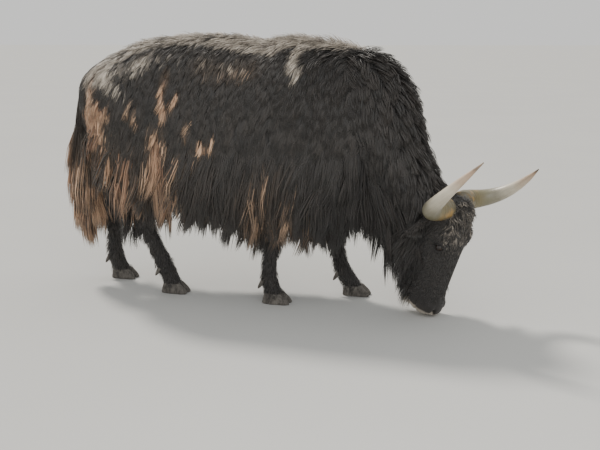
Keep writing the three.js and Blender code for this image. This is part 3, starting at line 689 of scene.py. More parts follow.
def markings(places, address_of):
    """Amounts of rust, and of silver with the painted highlight of the back, at places of the body."""
    x, y, z = places.T
    part = address_of[:, 0]
    flank = ease(np.abs(y), *FLANK_FROM) * (x < 800)
    rust = amount_near(x + np.where(y > 0, LEFT_SET_BACK, 0.0), z, RUST) * flank
    tail_rust = 0.2 + 0.62 * ease(-z, -900, -460) + 0.5 * ease(-x, 925, 985) * ease(-z, -980, -800)
    rust = np.where(part == PARTS.index("tail"), tail_rust, rust)
    # Painted highlight: the top of the back, above the lit edge, is made pale as if lit from above
    ridge = ease(z - LIT_RIDGE_EDGE(x)[:, 0], -14, 24) * ease(x, -820, -600) * ease(-x, -840, -560)
    silver_and_lit_back = np.maximum(amount_near(x, z, SILVER_AND_HIGHLIGHT_LINES), LIT_RIDGE_AMOUNT * ridge)
    silver_and_highlight = np.where(part <= PARTS.index("neck"), silver_and_lit_back, 0)
    left, out, down = head_part(places).T
    nose_pad = ease(out, 58, 66) * ease(-down, -588, -578)
    lips = ease(down + 0.25 * np.maximum(-out, 0), 560, 580) * (1 - nose_pad)
    brow = ease(-down, -330, -130) * ease(out, 0, 50)
    silver_and_highlight = np.where(part == PARTS.index("head"), np.maximum(lips, BROW_AMOUNT * brow), silver_and_highlight)
    legs = (part > PARTS.index("tail")) * ease(-z, -320, -120)
    return np.clip(rust, 0, 1), np.clip(silver_and_highlight + LEGS_AMOUNT * legs, 0, 1)


print("lines of rust:", len(RUST), "and of silver:", len(SILVER_AND_HIGHLIGHT_LINES))

# %% [markdown]
# ## The tint of the skin
# The muzzle is bare and the rest of the hide shows only between tufts. What the material needs to know is
# stored on the mesh as a colour.

# %% Tint of the skin
def store(mesh, name, kind, values):
    """Keeps a number, a vector or a colour for each corner of a mesh."""
    field = {"FLOAT": "value", "FLOAT_VECTOR": "vector", "FLOAT_COLOR": "color"}[kind]
    mesh.attributes.new(name, kind, "POINT").data.foreach_set(field, np.asarray(values, np.float32).ravel())


skin_address = address(skin_at)
# The silver here includes the painted highlight along the top of the back and the rump
skin_rust, skin_silver_and_highlight = markings(skin_at, skin_address)
bare = ease(head_part(skin_at)[:, 2], 535, 570) * (skin_address[:, 0] == PARTS.index("head"))
shade = np.stack([skin_rust, skin_silver_and_highlight, 0.45 + 0.3 * bare, 0.1 + 0.8 * bare], -1)
store(skin_mesh, "tint", "FLOAT_COLOR", shade)
print("share of the skin with rust:", round((skin_rust > 0.3).mean(), 2))
print("share of the skin with silver:", round((skin_silver_and_highlight > 0.3).mean(), 2))

# %% [markdown]
# ## How a tuft is made
# Particle hair and hair curves are lost in an export, so each tuft is a small closed mesh: rings of three
# corners along a bent path, with a point at the tip. A tuft starts under the skin, leaves it along the
# lie of the coat, bends down under its own weight and is drawn towards the middle of its lock. Then every
# ring that has sunk into the body is lifted out again, so that the hair lies on the animal.

# %% Roots on the skin
SEED = 4021
skin_faces = [tuple(face.vertices) for face in skin_mesh.polygons]
skin_tree = BVHTree.FromPolygons(to_row(skin_at).tolist(), skin_faces)
skin_mesh.calc_loop_triangles()
triangles = np.empty(len(skin_mesh.loop_triangles) * 3, np.int64)
skin_mesh.loop_triangles.foreach_get("vertices", triangles)
triangles = triangles.reshape(-1, 3)
corner = skin_at[triangles]
triangle_normal = np.cross(corner[:, 1] - corner[:, 0], corner[:, 2] - corner[:, 0])
triangle_area = np.linalg.norm(triangle_normal, axis=1) / 2
triangle_normal = unit(triangle_normal)
triangle_middle = corner.mean(1)
triangle_address = skin_address[triangles[:, 0]]
vertex_normal = np.empty(len(skin_at) * 3)
skin_mesh.vertices.foreach_get("normal", vertex_normal)
vertex_normal = vertex_normal.reshape(-1, 3)
print("skin area:", round(triangle_area.sum() / 1e6, 2), "square metres")


def sow(rng, density, count):
    """Roots spread over the skin by a density per triangle: place, normal and address of each."""
    share = np.cumsum(triangle_area * density)
    steps = (np.arange(count) + rng.random(count)) / count * share[-1]
    chosen = rng.permutation(np.searchsorted(share, steps).clip(0, len(share) - 1))
    a, b = rng.random(count), rng.random(count)
    flip = a + b > 1
    a, b = np.where(flip, 1 - a, a), np.where(flip, 1 - b, b)
    weights = np.stack([1 - a - b, a, b], -1)[..., None]
    ids = triangles[chosen]
    normals = unit((vertex_normal[ids] * weights).sum(1))
    return (skin_at[ids] * weights).sum(1), normals, skin_address[ids[:, 0]]

# %% [markdown]
# ## Combing
# Real hair stands in locks, whose tips meet. Combed at random, tufts look like a brush. So every tuft joins
# the nearest of a few leading tufts, and shares the swing, the length and the wave of that lock.

# %% Paths of the tufts
DOWN = -UP
ROOT_DEPTH, CLUMP_SPREAD, WAVES = 4, 0.12, 1.2
SWING, OWN_SWING, OWN_PHASE = 0.2, 0.06, 0.3
LOCK_LENGTHS, OWN_LENGTHS, OWN_LIFTS = (0.8, 1.12), (0.86, 1.08), (0.5, 1.5)


def tangent(vectors, normals):
    """The part of each vector that lies in the skin."""
    return unit(vectors - (vectors * normals).sum(-1, keepdims=True) * normals)


def comb(rng, roots, normals, rule, rings, clump_size, clump):
    """Paths of the tufts, (count, rings + 1, 3), by a rule of lie, length, lift, fall, curl and swing."""
    count = len(roots)
    hanging = ease(-normals[:, 2], 0.25, 0.8)[:, None]
    flat = unit(tangent(rule["lie"], normals) * (1 - hanging) + DOWN * hanging)
    locks = max(count // clump_size, 1)
    lock = nearest_of(roots[:locks])(roots)
    # What the tufts of one lock share: a swing to one side, a length and the phase of its wave
    side = unit(np.cross(normals, flat))
    swing = rng.normal(0, rule.get("swing", SWING), locks)[lock] + rng.normal(0, OWN_SWING, count)
    own_length = rule["length"] * rng.uniform(*LOCK_LENGTHS, locks)[lock] * rng.uniform(*OWN_LENGTHS, count)
    phase = rng.uniform(0, 2 * np.pi, locks)[lock] + rng.normal(0, OWN_PHASE, count)
    lifted = rule["lift"] * rng.uniform(*OWN_LIFTS, count)
    heading = unit(flat + side * swing[:, None] + normals * np.tan(lifted)[:, None])
    step = (own_length / rings)[:, None]
    fall = (np.broadcast_to(rule["fall"], count) / rings)[:, None]
    settle = (0.5 * np.tan(lifted) / rings)[:, None]
    path = [roots - normals * ROOT_DEPTH]
    for _ in range(rings):
        path.append(path[-1] + heading * step)
        heading = unit(heading + DOWN * fall - normals * settle)
    path = np.stack(path, 1)
    t = np.linspace(0, 1, rings + 1)
    wave = np.sin(phase[:, None] + 2 * np.pi * t * WAVES) - np.sin(phase)[:, None]
    path += side[:, None] * (wave * (rule["curl"] * own_length)[:, None] * t)[..., None]
    # Drawn to the middle of the lock, most at the tip
    middle, apart = path[lock], (roots - roots[lock])[:, None]
    pull = (clump * t**1.2)[None, :, None]
    path = path + (middle - path) * pull + apart * (CLUMP_SPREAD * pull)
    return path, side, own_length, lock


print("tufts start", ROOT_DEPTH, "mm under the skin")

# %% [markdown]
# ## Hair that lies on the body
# A straight path cuts through a round flank. Where a ring of a tuft has sunk under the skin, it is lifted
# back over it along the skin's normal, a little more towards the tip.

# %% Lay on the skin
SUNK_AT_MOST = 0.06  # metres


def lay_on_skin(path, clearance):
    """Lifts every ring that has sunk into the body back out of it."""
    for k in range(1, path.shape[1]):
        places = to_row(path[:, k])
        out = (clearance * (0.35 + 0.65 * k / (path.shape[1] - 1))) / MM
        for i, place in enumerate(places.tolist()):
            near, normal, _, _ = skin_tree.find_nearest(place, SUNK_AT_MOST)
            if near is None:
                continue
            height = (Vector(place) - near).dot(normal)
            if height < out[i]:
                places[i] = near + normal * float(out[i])
        path[:, k] = to_design(places)
    return path


print("hair is looked for up to", SUNK_AT_MOST, "m from the skin")

# %% [markdown]
# ## The mesh of a tuft
# A tuft is a closed form with three sides, flat like a lock of hair, widest below its middle, with a point.
# Four or six sides would be rounder but cost far more triangles, and the light hardly shows it.

# %% Meshes of tufts
LOWEST = 6.0  # millimetres over the floor
PATCH = 0.003  # size of a tuft on the OFBake map
TUFT_FLATNESS = 0.5


def ring_shares(rings):
    """Share of the way along a tuft, for each of its rings."""
    return np.linspace(0, 1, rings + 1)[:rings]


def tuft_places(path, side, width):
    """Three corners round each step of the paths, and the tips."""
    rings = path.shape[1] - 1
    ahead = unit(np.gradient(path, axis=1))[:, :rings]
    across = unit(side[:, None] - (side[:, None] * ahead).sum(-1, keepdims=True) * ahead)
    over = np.cross(ahead, across)
    t = ring_shares(rings)
    half = (0.62 + 0.75 * np.sin(np.pi * (0.12 + 0.88 * t)) ** 0.8) * (1 - 0.35 * t)
    half = (width[:, None] / 2 * half)[..., None]
    middle = path[:, :rings]
    ring = np.stack([middle + across * half, middle + over * half * TUFT_FLATNESS, middle - across * half], 2)
    return np.concatenate([ring.reshape(len(path), -1, 3), path[:, -1:]], 1)


def tuft_faces(rings):
    """Corners of one tuft's faces and their number in each: its walls, then the tip and the root."""
    a = np.arange(rings - 1)[:, None] * 3 + np.arange(3)[None]
    b = np.arange(rings - 1)[:, None] * 3 + (np.arange(3)[None] + 1) % 3
    walls = np.stack([a, b, b + 3, a + 3], -1).reshape(-1)
    end, tip = 3 * (rings - 1), 3 * rings
    caps = [end, end + 1, tip, end + 1, end + 2, tip, end + 2, end, tip, 0, 2, 1]
    return np.concatenate([walls, caps]), np.concatenate([np.full(len(walls) // 4, 4), np.full(4, 3)])


def tuft_mesh(name, path, side, width, tint_of_tuft, map_at):
    """One object of closed three-sided tufts. tint_of_tuft: (count, 3), map_at: root places on the map."""
    path[..., 2] = np.maximum(path[..., 2], LOWEST)
    count, rings = path.shape[0], path.shape[1] - 1
    places = tuft_places(path, side, width)
    per = places.shape[1]
    corners, face_sizes = tuft_faces(rings)
    loops = ((np.arange(count) * per)[:, None] + corners[None]).reshape(-1)
    starts = np.concatenate([[0], np.cumsum(np.tile(face_sizes, count))[:-1]])
    mesh = bpy.data.meshes.new(name)
    mesh.vertices.add(count * per)
    mesh.vertices.foreach_set("co", to_row(places).astype(np.float32).ravel())
    mesh.loops.add(len(loops))
    mesh.loops.foreach_set("vertex_index", loops.astype(np.int32))
    mesh.polygons.add(len(starts))
    mesh.polygons.foreach_set("loop_start", starts.astype(np.int32))
    mesh.update(calc_edges=True)
    t = np.repeat(ring_shares(rings), 3)
    shades = np.ones((count, per, 4))
    shades[..., :3] = tint_of_tuft[:, None]
    shades[:, :-1, 3] = t
    store(mesh, "tint", "FLOAT_COLOR", shades)
    patch = np.zeros((per, 2))
    patch[:-1, 0] = np.tile([0.0, 0.5, 1.0], rings)
    patch[:-1, 1] = t + np.tile([0.0, 0.12, 0.0], rings)
    patch[-1] = (0.5, 1.0)
    uv = (map_at[:, None] + (patch[None] - 0.5) * PATCH).reshape(-1, 2)
    mesh.uv_layers.new(name="OFBake").data.foreach_set("uv", uv[loops].ravel())
    made = enrol(smooth_object(name, mesh), "coat")
    print(name, count, "tufts,", count * (6 * (rings - 1) + 4), "triangles")
    return made


print("faces of a tuft of 3 rings:", len(tuft_faces(3)[1]))

# %% [markdown]
# ## Back, flanks and skirt
# On the ridge the hair lies backwards, and down the flanks it turns to hang. Below the middle of the flank
# it grows into the skirt, whose tips end at the ragged line that the photo shows. Each kind of hair is a
# rule: lie, length, lift from the skin, fall under its own weight, width and curl, all by the place.
# Lengths and widths are in millimetres, lifts in radians, and a number beside a zone is what it adds.

# %% Trunk hair
# Under the flanks: x, z of the lowest tips
HEM = profile([
    [-860, 640], [-700, 560], [-620, 500], [-400, 470], [-290, 490], [-252, 372], [-218, 530],
    [-125, 478], [-45, 385], [31, 440], [83, 435], [189, 366], [279, 345], [434, 360], [505, 420],
    [570, 290], [656, 328], [781, 415], [880, 390],
])
HEM_RAGGED, TO_HEM, BACK_LENGTH, SKIRT_LONGEST = 16, (140, 470), 128, 430


def trunk_hair(places, normals, address_of, rng):
    """The rule of the back, the flanks and the skirt."""
    x, y, z = places.T
    rump = ease(-x, 520, 760)
    ridge = (ease(normals[:, 2], 0.6, 0.97) * (1 - 0.85 * rump))[:, None]
    end = ease(-normals[:, 0], 0.2, 0.75) * rump
    flank_lie = np.stack([-0.3 + 0.1 * rump, 0.1 * np.sign(y), np.full(len(x), -1.0)], -1)
    ridge_lie = np.stack([np.full(len(x), -1.0), 0.75 * np.sign(y), np.full(len(x), -0.3)], -1)
    high = ease(z, 1000, 1330)
    to_hem = np.clip(z - HEM(x)[:, 0] + rng.normal(0, HEM_RAGGED, len(x)), *TO_HEM)
    withers = ease(x, 300, 620) * high
    upper = BACK_LENGTH - 46 * high + 20 * rump + 40 * withers + 26 * ease(-z, -1100, -950)
    swirl = np.exp(-((near_line(x, z, RUMP_SWIRL) / 90) ** 2))
    skirt = ease(-z, -960, -830)
    length = upper * (1 - skirt) + np.minimum(to_hem * 1.1 + 18, SKIRT_LONGEST) * skirt
    belly = ease(-normals[:, 2], 0.45, 0.8)
    return {
        "lie": flank_lie * (1 - ridge) + ridge_lie * ridge,
        "length": length * (1 - 0.25 * belly) * (1 - 0.35 * end),
        "lift": (0.08 + 0.06 * high + 0.08 * skirt) * (1 - 0.6 * end) + 0.34 * ridge[:, 0] + 0.1 * withers,
        "fall": 0.5 + 0.6 * skirt + 0.9 * end,
        "width": 4.4 + 1.6 * skirt,
        "curl": 0.025 + 0.025 * skirt + 0.12 * swirl,
    }


print("back hair", BACK_LENGTH, "mm, skirt up to", SKIRT_LONGEST, "mm")

# %% [markdown]
# ## Mane and throat
# The neck carries a mane that hangs forwards and down over its sides, and a fringe under the throat that
# nearly reaches the ground. The forward lie fades towards the head, to keep the hair out of the face.

# %% Neck hair
# Under the throat and jaw: x, z of the lowest tips
THROAT_HEM = profile([
    [700, 480], [781, 445], [842, 380], [884, 320], [934, 240], [983, 180], [1017, 100], [1100, 90],
])
THROAT_RAGGED, TO_THROAT_HEM, MANE_LENGTH = 22, (110, 400), 150
MANE_LIE = unit(np.array([0.62, -0.3, -0.72]))


def neck_hair(places, normals, address_of, rng):
    """The rule of the mane and the throat."""
    x, y, z = places.T
    along, turn = address_of[:, 1], 2 * np.pi * address_of[:, 2]
    crest, throat = ease(np.sin(turn), 0.45, 0.9), ease(-np.sin(turn), 0.1, 0.75)
    to_hem = np.clip(z - THROAT_HEM(x)[:, 0] + rng.normal(0, THROAT_RAGGED, len(x)), *TO_THROAT_HEM)
    length = np.where(throat > 0.3, to_hem * 1.1, MANE_LENGTH - 40 * crest)
    return {
        "lie": DOWN + MANE_LIE * ((0.5 + 0.9 * crest) * (1 - ease(along, 0.5, 0.8)))[:, None],
        "length": length * (1 - 0.65 * ease(along, 0.78, 0.92)),
        "lift": 0.2 + 0.36 * crest,
        "fall": 0.8 - 0.4 * crest,
        "width": 5.6,
        "curl": 0.04,
    }


print("mane", MANE_LENGTH, "mm, throat up to", TO_THROAT_HEM[1], "mm")

# %% [markdown]
# ## Face
# The face has short fine hair that lies down it and parts round each eye, a curly poll, and a beard under
# the jaw. A single length would hide the lids and the lips, so the hair thins towards eyes and muzzle.

# %% Head hair
FACE_LENGTH, BEARD_LENGTH, BY_EYE = 27, 124, (46, 34)


def head_hair(places, normals, address_of, rng):
    """The rule of the face, the poll and the beard."""
    left, out, down = head_part(places).T
    front = ease(out, 0, 45)
    poll = ease(-down, -190, -20) * front
    jaw = ease(-out, 40, 110) * ease(-down, -575, -500)
    cheek = ease(-down, -330, -180) * (1 - front)
    spin = rng.normal(0, 1, (len(places), 3))
    lie = FACE_DOWN - FACE_OUT * (0.55 * (1 - front))[:, None] + spin * (0.12 + 0.55 * poll)[:, None]
    lie = lie * (1 - jaw[:, None]) + (DOWN - 0.55 * AHEAD) * jaw[:, None]
    muzzle = ease(down, 430, 520)
    off_out, off_down = out - EYE["out"], down - EYE["down"]
    by_eye = np.exp(-((off_out / BY_EYE[0]) ** 2) - (off_down / BY_EYE[1]) ** 2) * (np.abs(left) > 60)
    lie = lie + (1.6 * by_eye)[:, None] * unit(np.outer(off_out, FACE_OUT) + np.outer(off_down, FACE_DOWN))
    beard = BEARD_LENGTH * jaw * rng.uniform(0.6, 1.3, len(places))
    return {
        "lie": lie,
        "length": (FACE_LENGTH + 20 * poll + 16 * cheek + beard - 13 * muzzle) * (1 - 0.6 * by_eye),
        "lift": 0.13 + 0.36 * poll + 0.36 * jaw - 0.06 * muzzle,
        "fall": 0.1 + 0.6 * jaw,
        "width": 2.9 + 1.2 * poll - 1.2 * muzzle + 2.4 * jaw - 0.9 * by_eye,
        "curl": 0.02 + 0.12 * poll,
    }


print("face hair", FACE_LENGTH, "mm, beard about", BEARD_LENGTH, "mm")

# %% [markdown]
# ## Legs
# The thighs have long hair that falls over the stifle and behind the leg. The shanks are shaggy, and a
# fringe stands out over the hooves, so the leg looks much thicker than its bone.

# %% Leg hair
SHANK_LENGTH, THIGH_LENGTH, REAR_LENGTH, STIFLE_LENGTH = 27, 105, 165, 90


def leg_hair(places, normals, address_of, rng):
    """The rule of thighs and shanks."""
    x, y, z = places.T
    rear = ease(-normals[:, 0], 0.1, 0.7)
    stifle = ease(normals[:, 0], 0.1, 0.6) * ease(z, 470, 560) * (x < 0)
    thigh = ease(z, 400, 620)
    shaggy, pastern = ease(z, 90, 170) * (1 - thigh), ease(-z, -120, -60)
    cannon = SHANK_LENGTH + 22 * shaggy + 14 * rear * ease(z, 60, 130) + 20 * pastern
    upper = cannon + THIGH_LENGTH * thigh * rng.uniform(0.75, 1.2, len(x))
    return {
        "lie": np.stack([-0.16 - 0.2 * rear + 0.16 * stifle, 0 * x, -1.0 + 0 * x], -1),
        "length": upper + REAR_LENGTH * ease(z, 330, 460) * rear + STIFLE_LENGTH * stifle,
        "lift": 0.12 + 0.12 * thigh + 0.28 * rear * thigh + 0.1 * stifle + 0.3 * shaggy + 0.66 * pastern,
        "fall": 0.3 + 0.4 * thigh,
        "width": 2.8 + 2.8 * thigh + 0.5 * shaggy,
        "curl": 0.02 + 0.02 * thigh,
    }


print("shanks", SHANK_LENGTH, "mm, behind the thigh up to", SHANK_LENGTH + THIGH_LENGTH + REAR_LENGTH, "mm")

# %% [markdown]
# ## Tail
# A yak's tail is one long brush like a horse's. Its hair hangs straight, close together at the root, and
# its tips end well over the ground.

# %% Tail hair
BRUSH_END, BRUSH_RAGGED, BRUSH_LONGEST = 215, 45, 400


def tail_hair(places, normals, address_of, rng):
    """The rule of the tail."""
    z = places[:, 2]
    to_end = np.clip(z - BRUSH_END + rng.normal(0, BRUSH_RAGGED, len(z)), 120, 430)
    top = ease(z, 900, 1100)
    return {
        "lie": np.broadcast_to(DOWN + 0.02 * FORE, places.shape),
        "length": np.minimum(to_end, BRUSH_LONGEST) * (1 - 0.5 * top),
        "lift": 0.17 - 0.15 * top + 0.16 * ease(normals[:, 0], 0.1, 0.7) * (1 - top),
        "fall": 0.5 + 1.5 * top,
        "width": 5.4,
        "curl": 0.03,
        "swing": 0.08,
    }


print("tail tufts up to", BRUSH_LONGEST, "mm")

# %% [markdown]
# ## Sowing the coat
# The coat is divided into pieces where a groomer would divide it, which also keeps each mesh small enough
# to export. Density is a weight for each triangle of the skin: the fine hair of the face stands closest.

# %% The pieces of the coat
TRUNK_ID, NECK_ID, HEAD_ID, TAIL_ID = (PARTS.index(name) for name in ("trunk", "neck", "head", "tail"))
part_of, mid = triangle_address[:, 0].astype(int), triangle_middle
mid_y, mid_z = mid[:, 1], mid[:, 2]
mid_left, mid_out, mid_down = head_part(mid).T
on_trunk = (part_of == TRUNK_ID) * (1 - 0.8 * ease(-triangle_normal[:, 2], 0.5, 0.9))
on_legs = (part_of > TAIL_ID) * (mid_z > 46) * (1 - 0.6 * ease(mid_z, 560, 700))
right, low = mid_y < 0, mid_z < 830
middle_band = (mid_z >= 830) & (mid_z < 1130)
eyes_clear = np.ones(len(mid))
for sign in SIDES.values():
    from_eye = np.hypot((mid_out - EYE["out"]) / 30, (mid_down - EYE["down"]) / 21)
    eyes_clear *= np.where((mid_left * sign > 60) & (from_eye < 1), 0, 1)
on_face = part_of == HEAD_ID
off_muzzle = 1 - ease(mid_down, 500, 548)
thinner_down = 0.5 + 0.5 * ease(-mid_down, -560, -380)
under_chin = 0.5 * on_face * ease(-mid_out, 40, 70) * ease(-mid_down, -575, -555)
face_density = np.maximum(on_face * eyes_clear * off_muzzle * thinner_down, under_chin)

COAT = [  # name, hair, density, tufts, rings, tufts to a lock, pull of the lock
    ("coat_back_right", trunk_hair, on_trunk * right * (mid_z >= 1130), 9000, 3, 10, 0.35),
    ("coat_back_left", trunk_hair, on_trunk * ~right * (mid_z >= 1130), 9000, 3, 10, 0.35),
    ("coat_flank_right", trunk_hair, on_trunk * right * middle_band, 10800, 3, 14, 0.4),
    ("coat_flank_left", trunk_hair, on_trunk * ~right * middle_band, 10800, 3, 14, 0.4),
    ("coat_skirt_right", trunk_hair, on_trunk * right * low, 7400, 4, 22, 0.6),
    ("coat_skirt_left", trunk_hair, on_trunk * ~right * low, 7400, 4, 22, 0.6),
    ("coat_mane", neck_hair, (part_of == NECK_ID) * 1.0, 8300, 4, 18, 0.6),
    ("coat_tail", tail_hair, (part_of == TAIL_ID) * 1.0, 3000, 4, 30, 0.5),
    ("coat_thighs", leg_hair, on_legs * (mid_z >= 400), 4100, 4, 16, 0.6),
    ("coat_shanks", leg_hair, on_legs * (mid_z < 420), 5500, 2, 8, 0.4),
    ("coat_face", head_hair, face_density, 12500, 2, 8, 0.45),
]
coat_pieces = []
for number, (name, hair, density, count, rings, clump_size, clump) in enumerate(COAT):
    rng = np.random.default_rng(SEED + number)
    roots, normals, address_of = sow(rng, density, count)
    rule = hair(roots, normals, address_of, rng)
    path, side, length, lock = comb(rng, roots, normals, rule, rings, clump_size, clump)
    path = lay_on_skin(path, np.clip(length * 0.1, 3, 16))
    # The silver here includes the painted highlight along the top of the back and the rump
    rust, silver_and_highlight = markings(path[:, (rings + 1) // 2], address_of)
    own = np.clip(rng.normal(0.5, 0.16, count)[lock] + rng.normal(0, 0.14, count), 0, 1)
    names = [PARTS[i] for i in address_of[:, 0].astype(int)]
    map_at = np.array([map_place(part, a, u) for part, (_, a, u) in zip(names, address_of)])
    width = rule["width"] * rng.uniform(0.75, 1.25, count)
    coat_pieces.append(tuft_mesh(name, path, side, width, np.stack([rust, silver_and_highlight, own], -1), map_at))

# %% [markdown]
# ## Ears
# The ear's loft gives the cup of skin. Hair stands on its rim and back, longest at the rim, and could be
# sown like the rest of the coat, but on so small a form its roots are simply corners of the loft.

# %% Ears
EAR_TUFTS, EAR_TINT, EAR_HAIR, EAR_RIM_HAIR = 900, (0.08, 0.1, 0.4, 0.2), 26, 18
for side_name, sign in SIDES.items():
    rings = ear_rings(sign)
    ear = from_places(f"ear_skin_{side_name}", *join_lofts([rings]))
    enrol(ear, "coat", f"ear_{side_name}")
    store(ear.data, "tint", "FLOAT_COLOR", np.tile(EAR_TINT, (rings.shape[0] * rings.shape[1], 1)))
    rng = np.random.default_rng(SEED + 50 + sign)
    step = rng.integers(2, rings.shape[0] - 1, EAR_TUFTS)
    around = rng.integers(0, rings.shape[1], EAR_TUFTS)
    roots = rings[step, around] + rng.normal(0, 1.5, (EAR_TUFTS, 3))
    _, along, across, _ = ear_frame(sign)
    from_middle = roots - rings.mean(1)[step]
    normals = unit(from_middle)
    rule = {
        "lie": along + DOWN * 0.5 + normals * 0.15,
        "length": EAR_HAIR + EAR_RIM_HAIR * ease(np.abs(from_middle @ across), 10, 30),
        "lift": 0.25,
        "fall": 0.5,
        "curl": 0.03,
    }
    path, side, *_ = comb(rng, roots, normals, rule, 2, 6, 0.4)
    half_field = 0.5 if sign > 0 else 0
    map_at = map_place("ears", step / rings.shape[0] * 0.5 + half_field, around / rings.shape[1])
    tints = np.full((EAR_TUFTS, 3), 0.1)
    tints[:, 2] = rng.uniform(0.2, 0.8, EAR_TUFTS)
    width = rng.uniform(2.5, 4.5, EAR_TUFTS)
    coat_pieces.append(tuft_mesh(f"coat_ear_{side_name}", path, side, width, tints, map_at))

# %% [markdown]
# ## Lashes
# A yak has long stiff lashes against sun and snow. They stand in a row on the rim of the upper lid, bend
# up at their tips, and are fewer and shorter below. Each is a very thin tuft on a path of its own.

# %% Lashes
LASHES, UPPER_LASHES, LASH_LENGTHS, LASH_WIDTH = 84, 60, (24, 13), 1.7
LASH_STEPS = (-0.25, 0.33, 0.66, 1.0)
lash_parts = []
upper = np.arange(LASHES) < UPPER_LASHES
for sign in SIDES.values():
    rng = np.random.default_rng(SEED + 60 + sign)
    turn = np.pi * np.where(upper, rng.uniform(0.02, 0.98, LASHES), rng.uniform(1.2, 1.8, LASHES))
    ahead, rise = np.cos(turn), np.sin(turn)
    left = sign * (EYE["left"] + 15 - 6 * ahead**2)
    roots = in_head(left, EYE["out"] + 25 * ahead, EYE["down"] - 15 * rise)
    outward = np.outer(np.full(LASHES, sign * 0.9), HEAD_LEFT) + np.outer(0.5 * ahead, FACE_OUT)
    heading = unit(outward + np.outer(np.where(upper, 0.35, 0.5), FACE_DOWN))
    bend = np.outer(np.where(upper, -1.1, 0.2), FACE_DOWN)
    long = (np.where(upper, *LASH_LENGTHS) * rng.uniform(0.75, 1.15, LASHES))[:, None]
    path = np.stack([roots + long * (t * heading + t * t * 0.45 * bend) for t in LASH_STEPS], 1)
    lash_parts.append((path, unit(np.cross(outward, FACE_DOWN))))
path, side = (np.concatenate(part) for part in zip(*lash_parts))
tints = np.tile([0.0, 0.0, 0.1], (len(path), 1))
map_at = map_place("ears", np.linspace(0.3, 0.4, len(path)), np.linspace(0.1, 0.9, len(path)))
coat_pieces.append(tuft_mesh("coat_lashes", path, side, np.full(len(path), LASH_WIDTH), tints, map_at))

# %% [markdown]
# ## Horns
# A horn is a tapering tube round a cubic curve. Near its root it carries the growth rings of each winter:
# they are modelled in the radius, not only painted, and fade out towards the smooth tip.

# %% Horns
# Ends and pulls of each horn's curve in the head's frame: to the side, out, up
HORNS = {
    "right": [[78, -4, -8], [188, -12, 12], [394, -6, -50], [266, 214, 342]],
    "left": [[90, -20, -2], [225, -85, -10], [391, 43, -40], [263, 243, 262]],
}
# Share of the length: radius
HORN_THICKNESS = profile([[0, 56], [0.15, 54], [0.4, 47], [0.7, 34], [0.9, 18], [1, 3]])
WINTERS, WINTER_DEPTH, FLUTES, FLUTE_DEPTH, INSIDE_SOLID = 15, 0.018, 7, 0.012, 0.4


def bezier(ends, t):
    """A cubic curve from the first place to the last, pulled by the two between."""
    begin = (1 - t) ** 3 * ends[0] + 3 * (1 - t) ** 2 * t * ends[1]
    return begin + 3 * (1 - t) * t * t * ends[2] + t**3 * ends[3]


def horn_rings(name, steps=150, count=48):
    """Rings of a horn, and the share of its length where each stands."""
    ends = np.array([in_head(SIDES[name] * aside, out, -up) for aside, out, up in HORNS[name]])
    t = np.linspace(0, 1, steps)
    middle = bezier(ends, t[:, None])
    winters = np.sin(2 * np.pi * (t * WINTERS + 0.5 * np.sin(t * 21))) * np.exp(-((t / 0.42) ** 2))
    radius = HORN_THICKNESS(t)[:, 0] * (1 + WINTER_DEPTH * winters) - INSIDE_SOLID
    rings = tube(middle, np.maximum(radius, 1.5), count)
    angle = np.linspace(0, 2 * np.pi, count, endpoint=False)
    fade = np.exp(-((t[:, None] / 0.5) ** 2))
    flute = 1 + FLUTE_DEPTH * np.sin(angle * FLUTES + 3 * t[:, None]) * fade
    return middle[:, None] + (rings - middle[:, None]) * flute[..., None], t


for name in HORNS:
    rings, t = horn_rings(name)
    made = from_places(f"horn_{name}_grown", *join_lofts([rings]))
    store(made.data, "along", "FLOAT", np.repeat(t, rings.shape[1]))
    c, s = turns(rings.shape[1])
    grain = np.stack(np.broadcast_arrays(5 * c, 5 * s, 2.5 * t[:, None]), -1)
    store(made.data, "grain", "FLOAT_VECTOR", grain)
    enrol(made, "horn", f"horn_{name}")
print("horns:", len(HORNS))

# %% [markdown]
# ## Hooves
# Each foot ends in two claws and has two dewclaws behind. A claw is lofted upwards from its flat sole,
# with a rounded lower edge and faint rings, and stays where the solid's claw is.

# %% Claws and dewclaws
# Height over the sole: length, width, how far forward
CLAW = profile([
    [0, 141, 43, 18], [2, 147, 48, 18], [8, 152, 49, 17], [30, 134, 47, 12], [52, 103, 45, 3.5],
    [57.5, 96, 42, 2],
])
CLEFT, CLAW_TOP, CLAW_WIDEST, CLAW_SET_BACK = 1.2, 57.5, 49, 8
# From the ankle to a dewclaw's root and to its tip, and its radius
DEWCLAW_ROOT, DEWCLAW_TIP, DEWCLAW_RADIUS = (-30, 24, 2), (-60, 27, -45), 13


def claw_rings(foot, sign, steps=34, count=36):
    """Rings of one claw from its sole up, close together on the rounded edge."""
    z = np.concatenate([[0, 0.4, 1.2, 2], np.linspace(3.5, CLAW_TOP, steps - 4)])
    long, wide, forward = CLAW(z).T
    grown = 1 + 0.008 * np.sin(z * 0.75) * ease(z, 6, 14)
    aside = wide / 2 + CLEFT + (CLAW_WIDEST - wide) * 0.15
    centre = np.stack([foot[0] - CLAW_SET_BACK + forward, foot[1] + sign * aside, z], -1)
    side, front = np.tile([0.0, 1, 0], (steps, 1)), np.tile([1.0, 0, 0], (steps, 1))
    return oval(centre, side, front, wide / 2 * grown, long / 2 * grown, long / 2 * grown, count, 0.75)


def dewclaw_rings(ankle, sign, count=16):
    """A blunt cone behind the ankle that points down and back."""
    mirror = np.array([1, sign, 1])
    root = np.array(ankle[:3]) + DEWCLAW_ROOT * mirror
    tip = np.array(ankle[:3]) + DEWCLAW_TIP * mirror
    t = np.linspace(0, 1, 12)
    return tube(root + np.outer(t, tip - root), DEWCLAW_RADIUS * np.sqrt(1.02 - t**1.6), count)


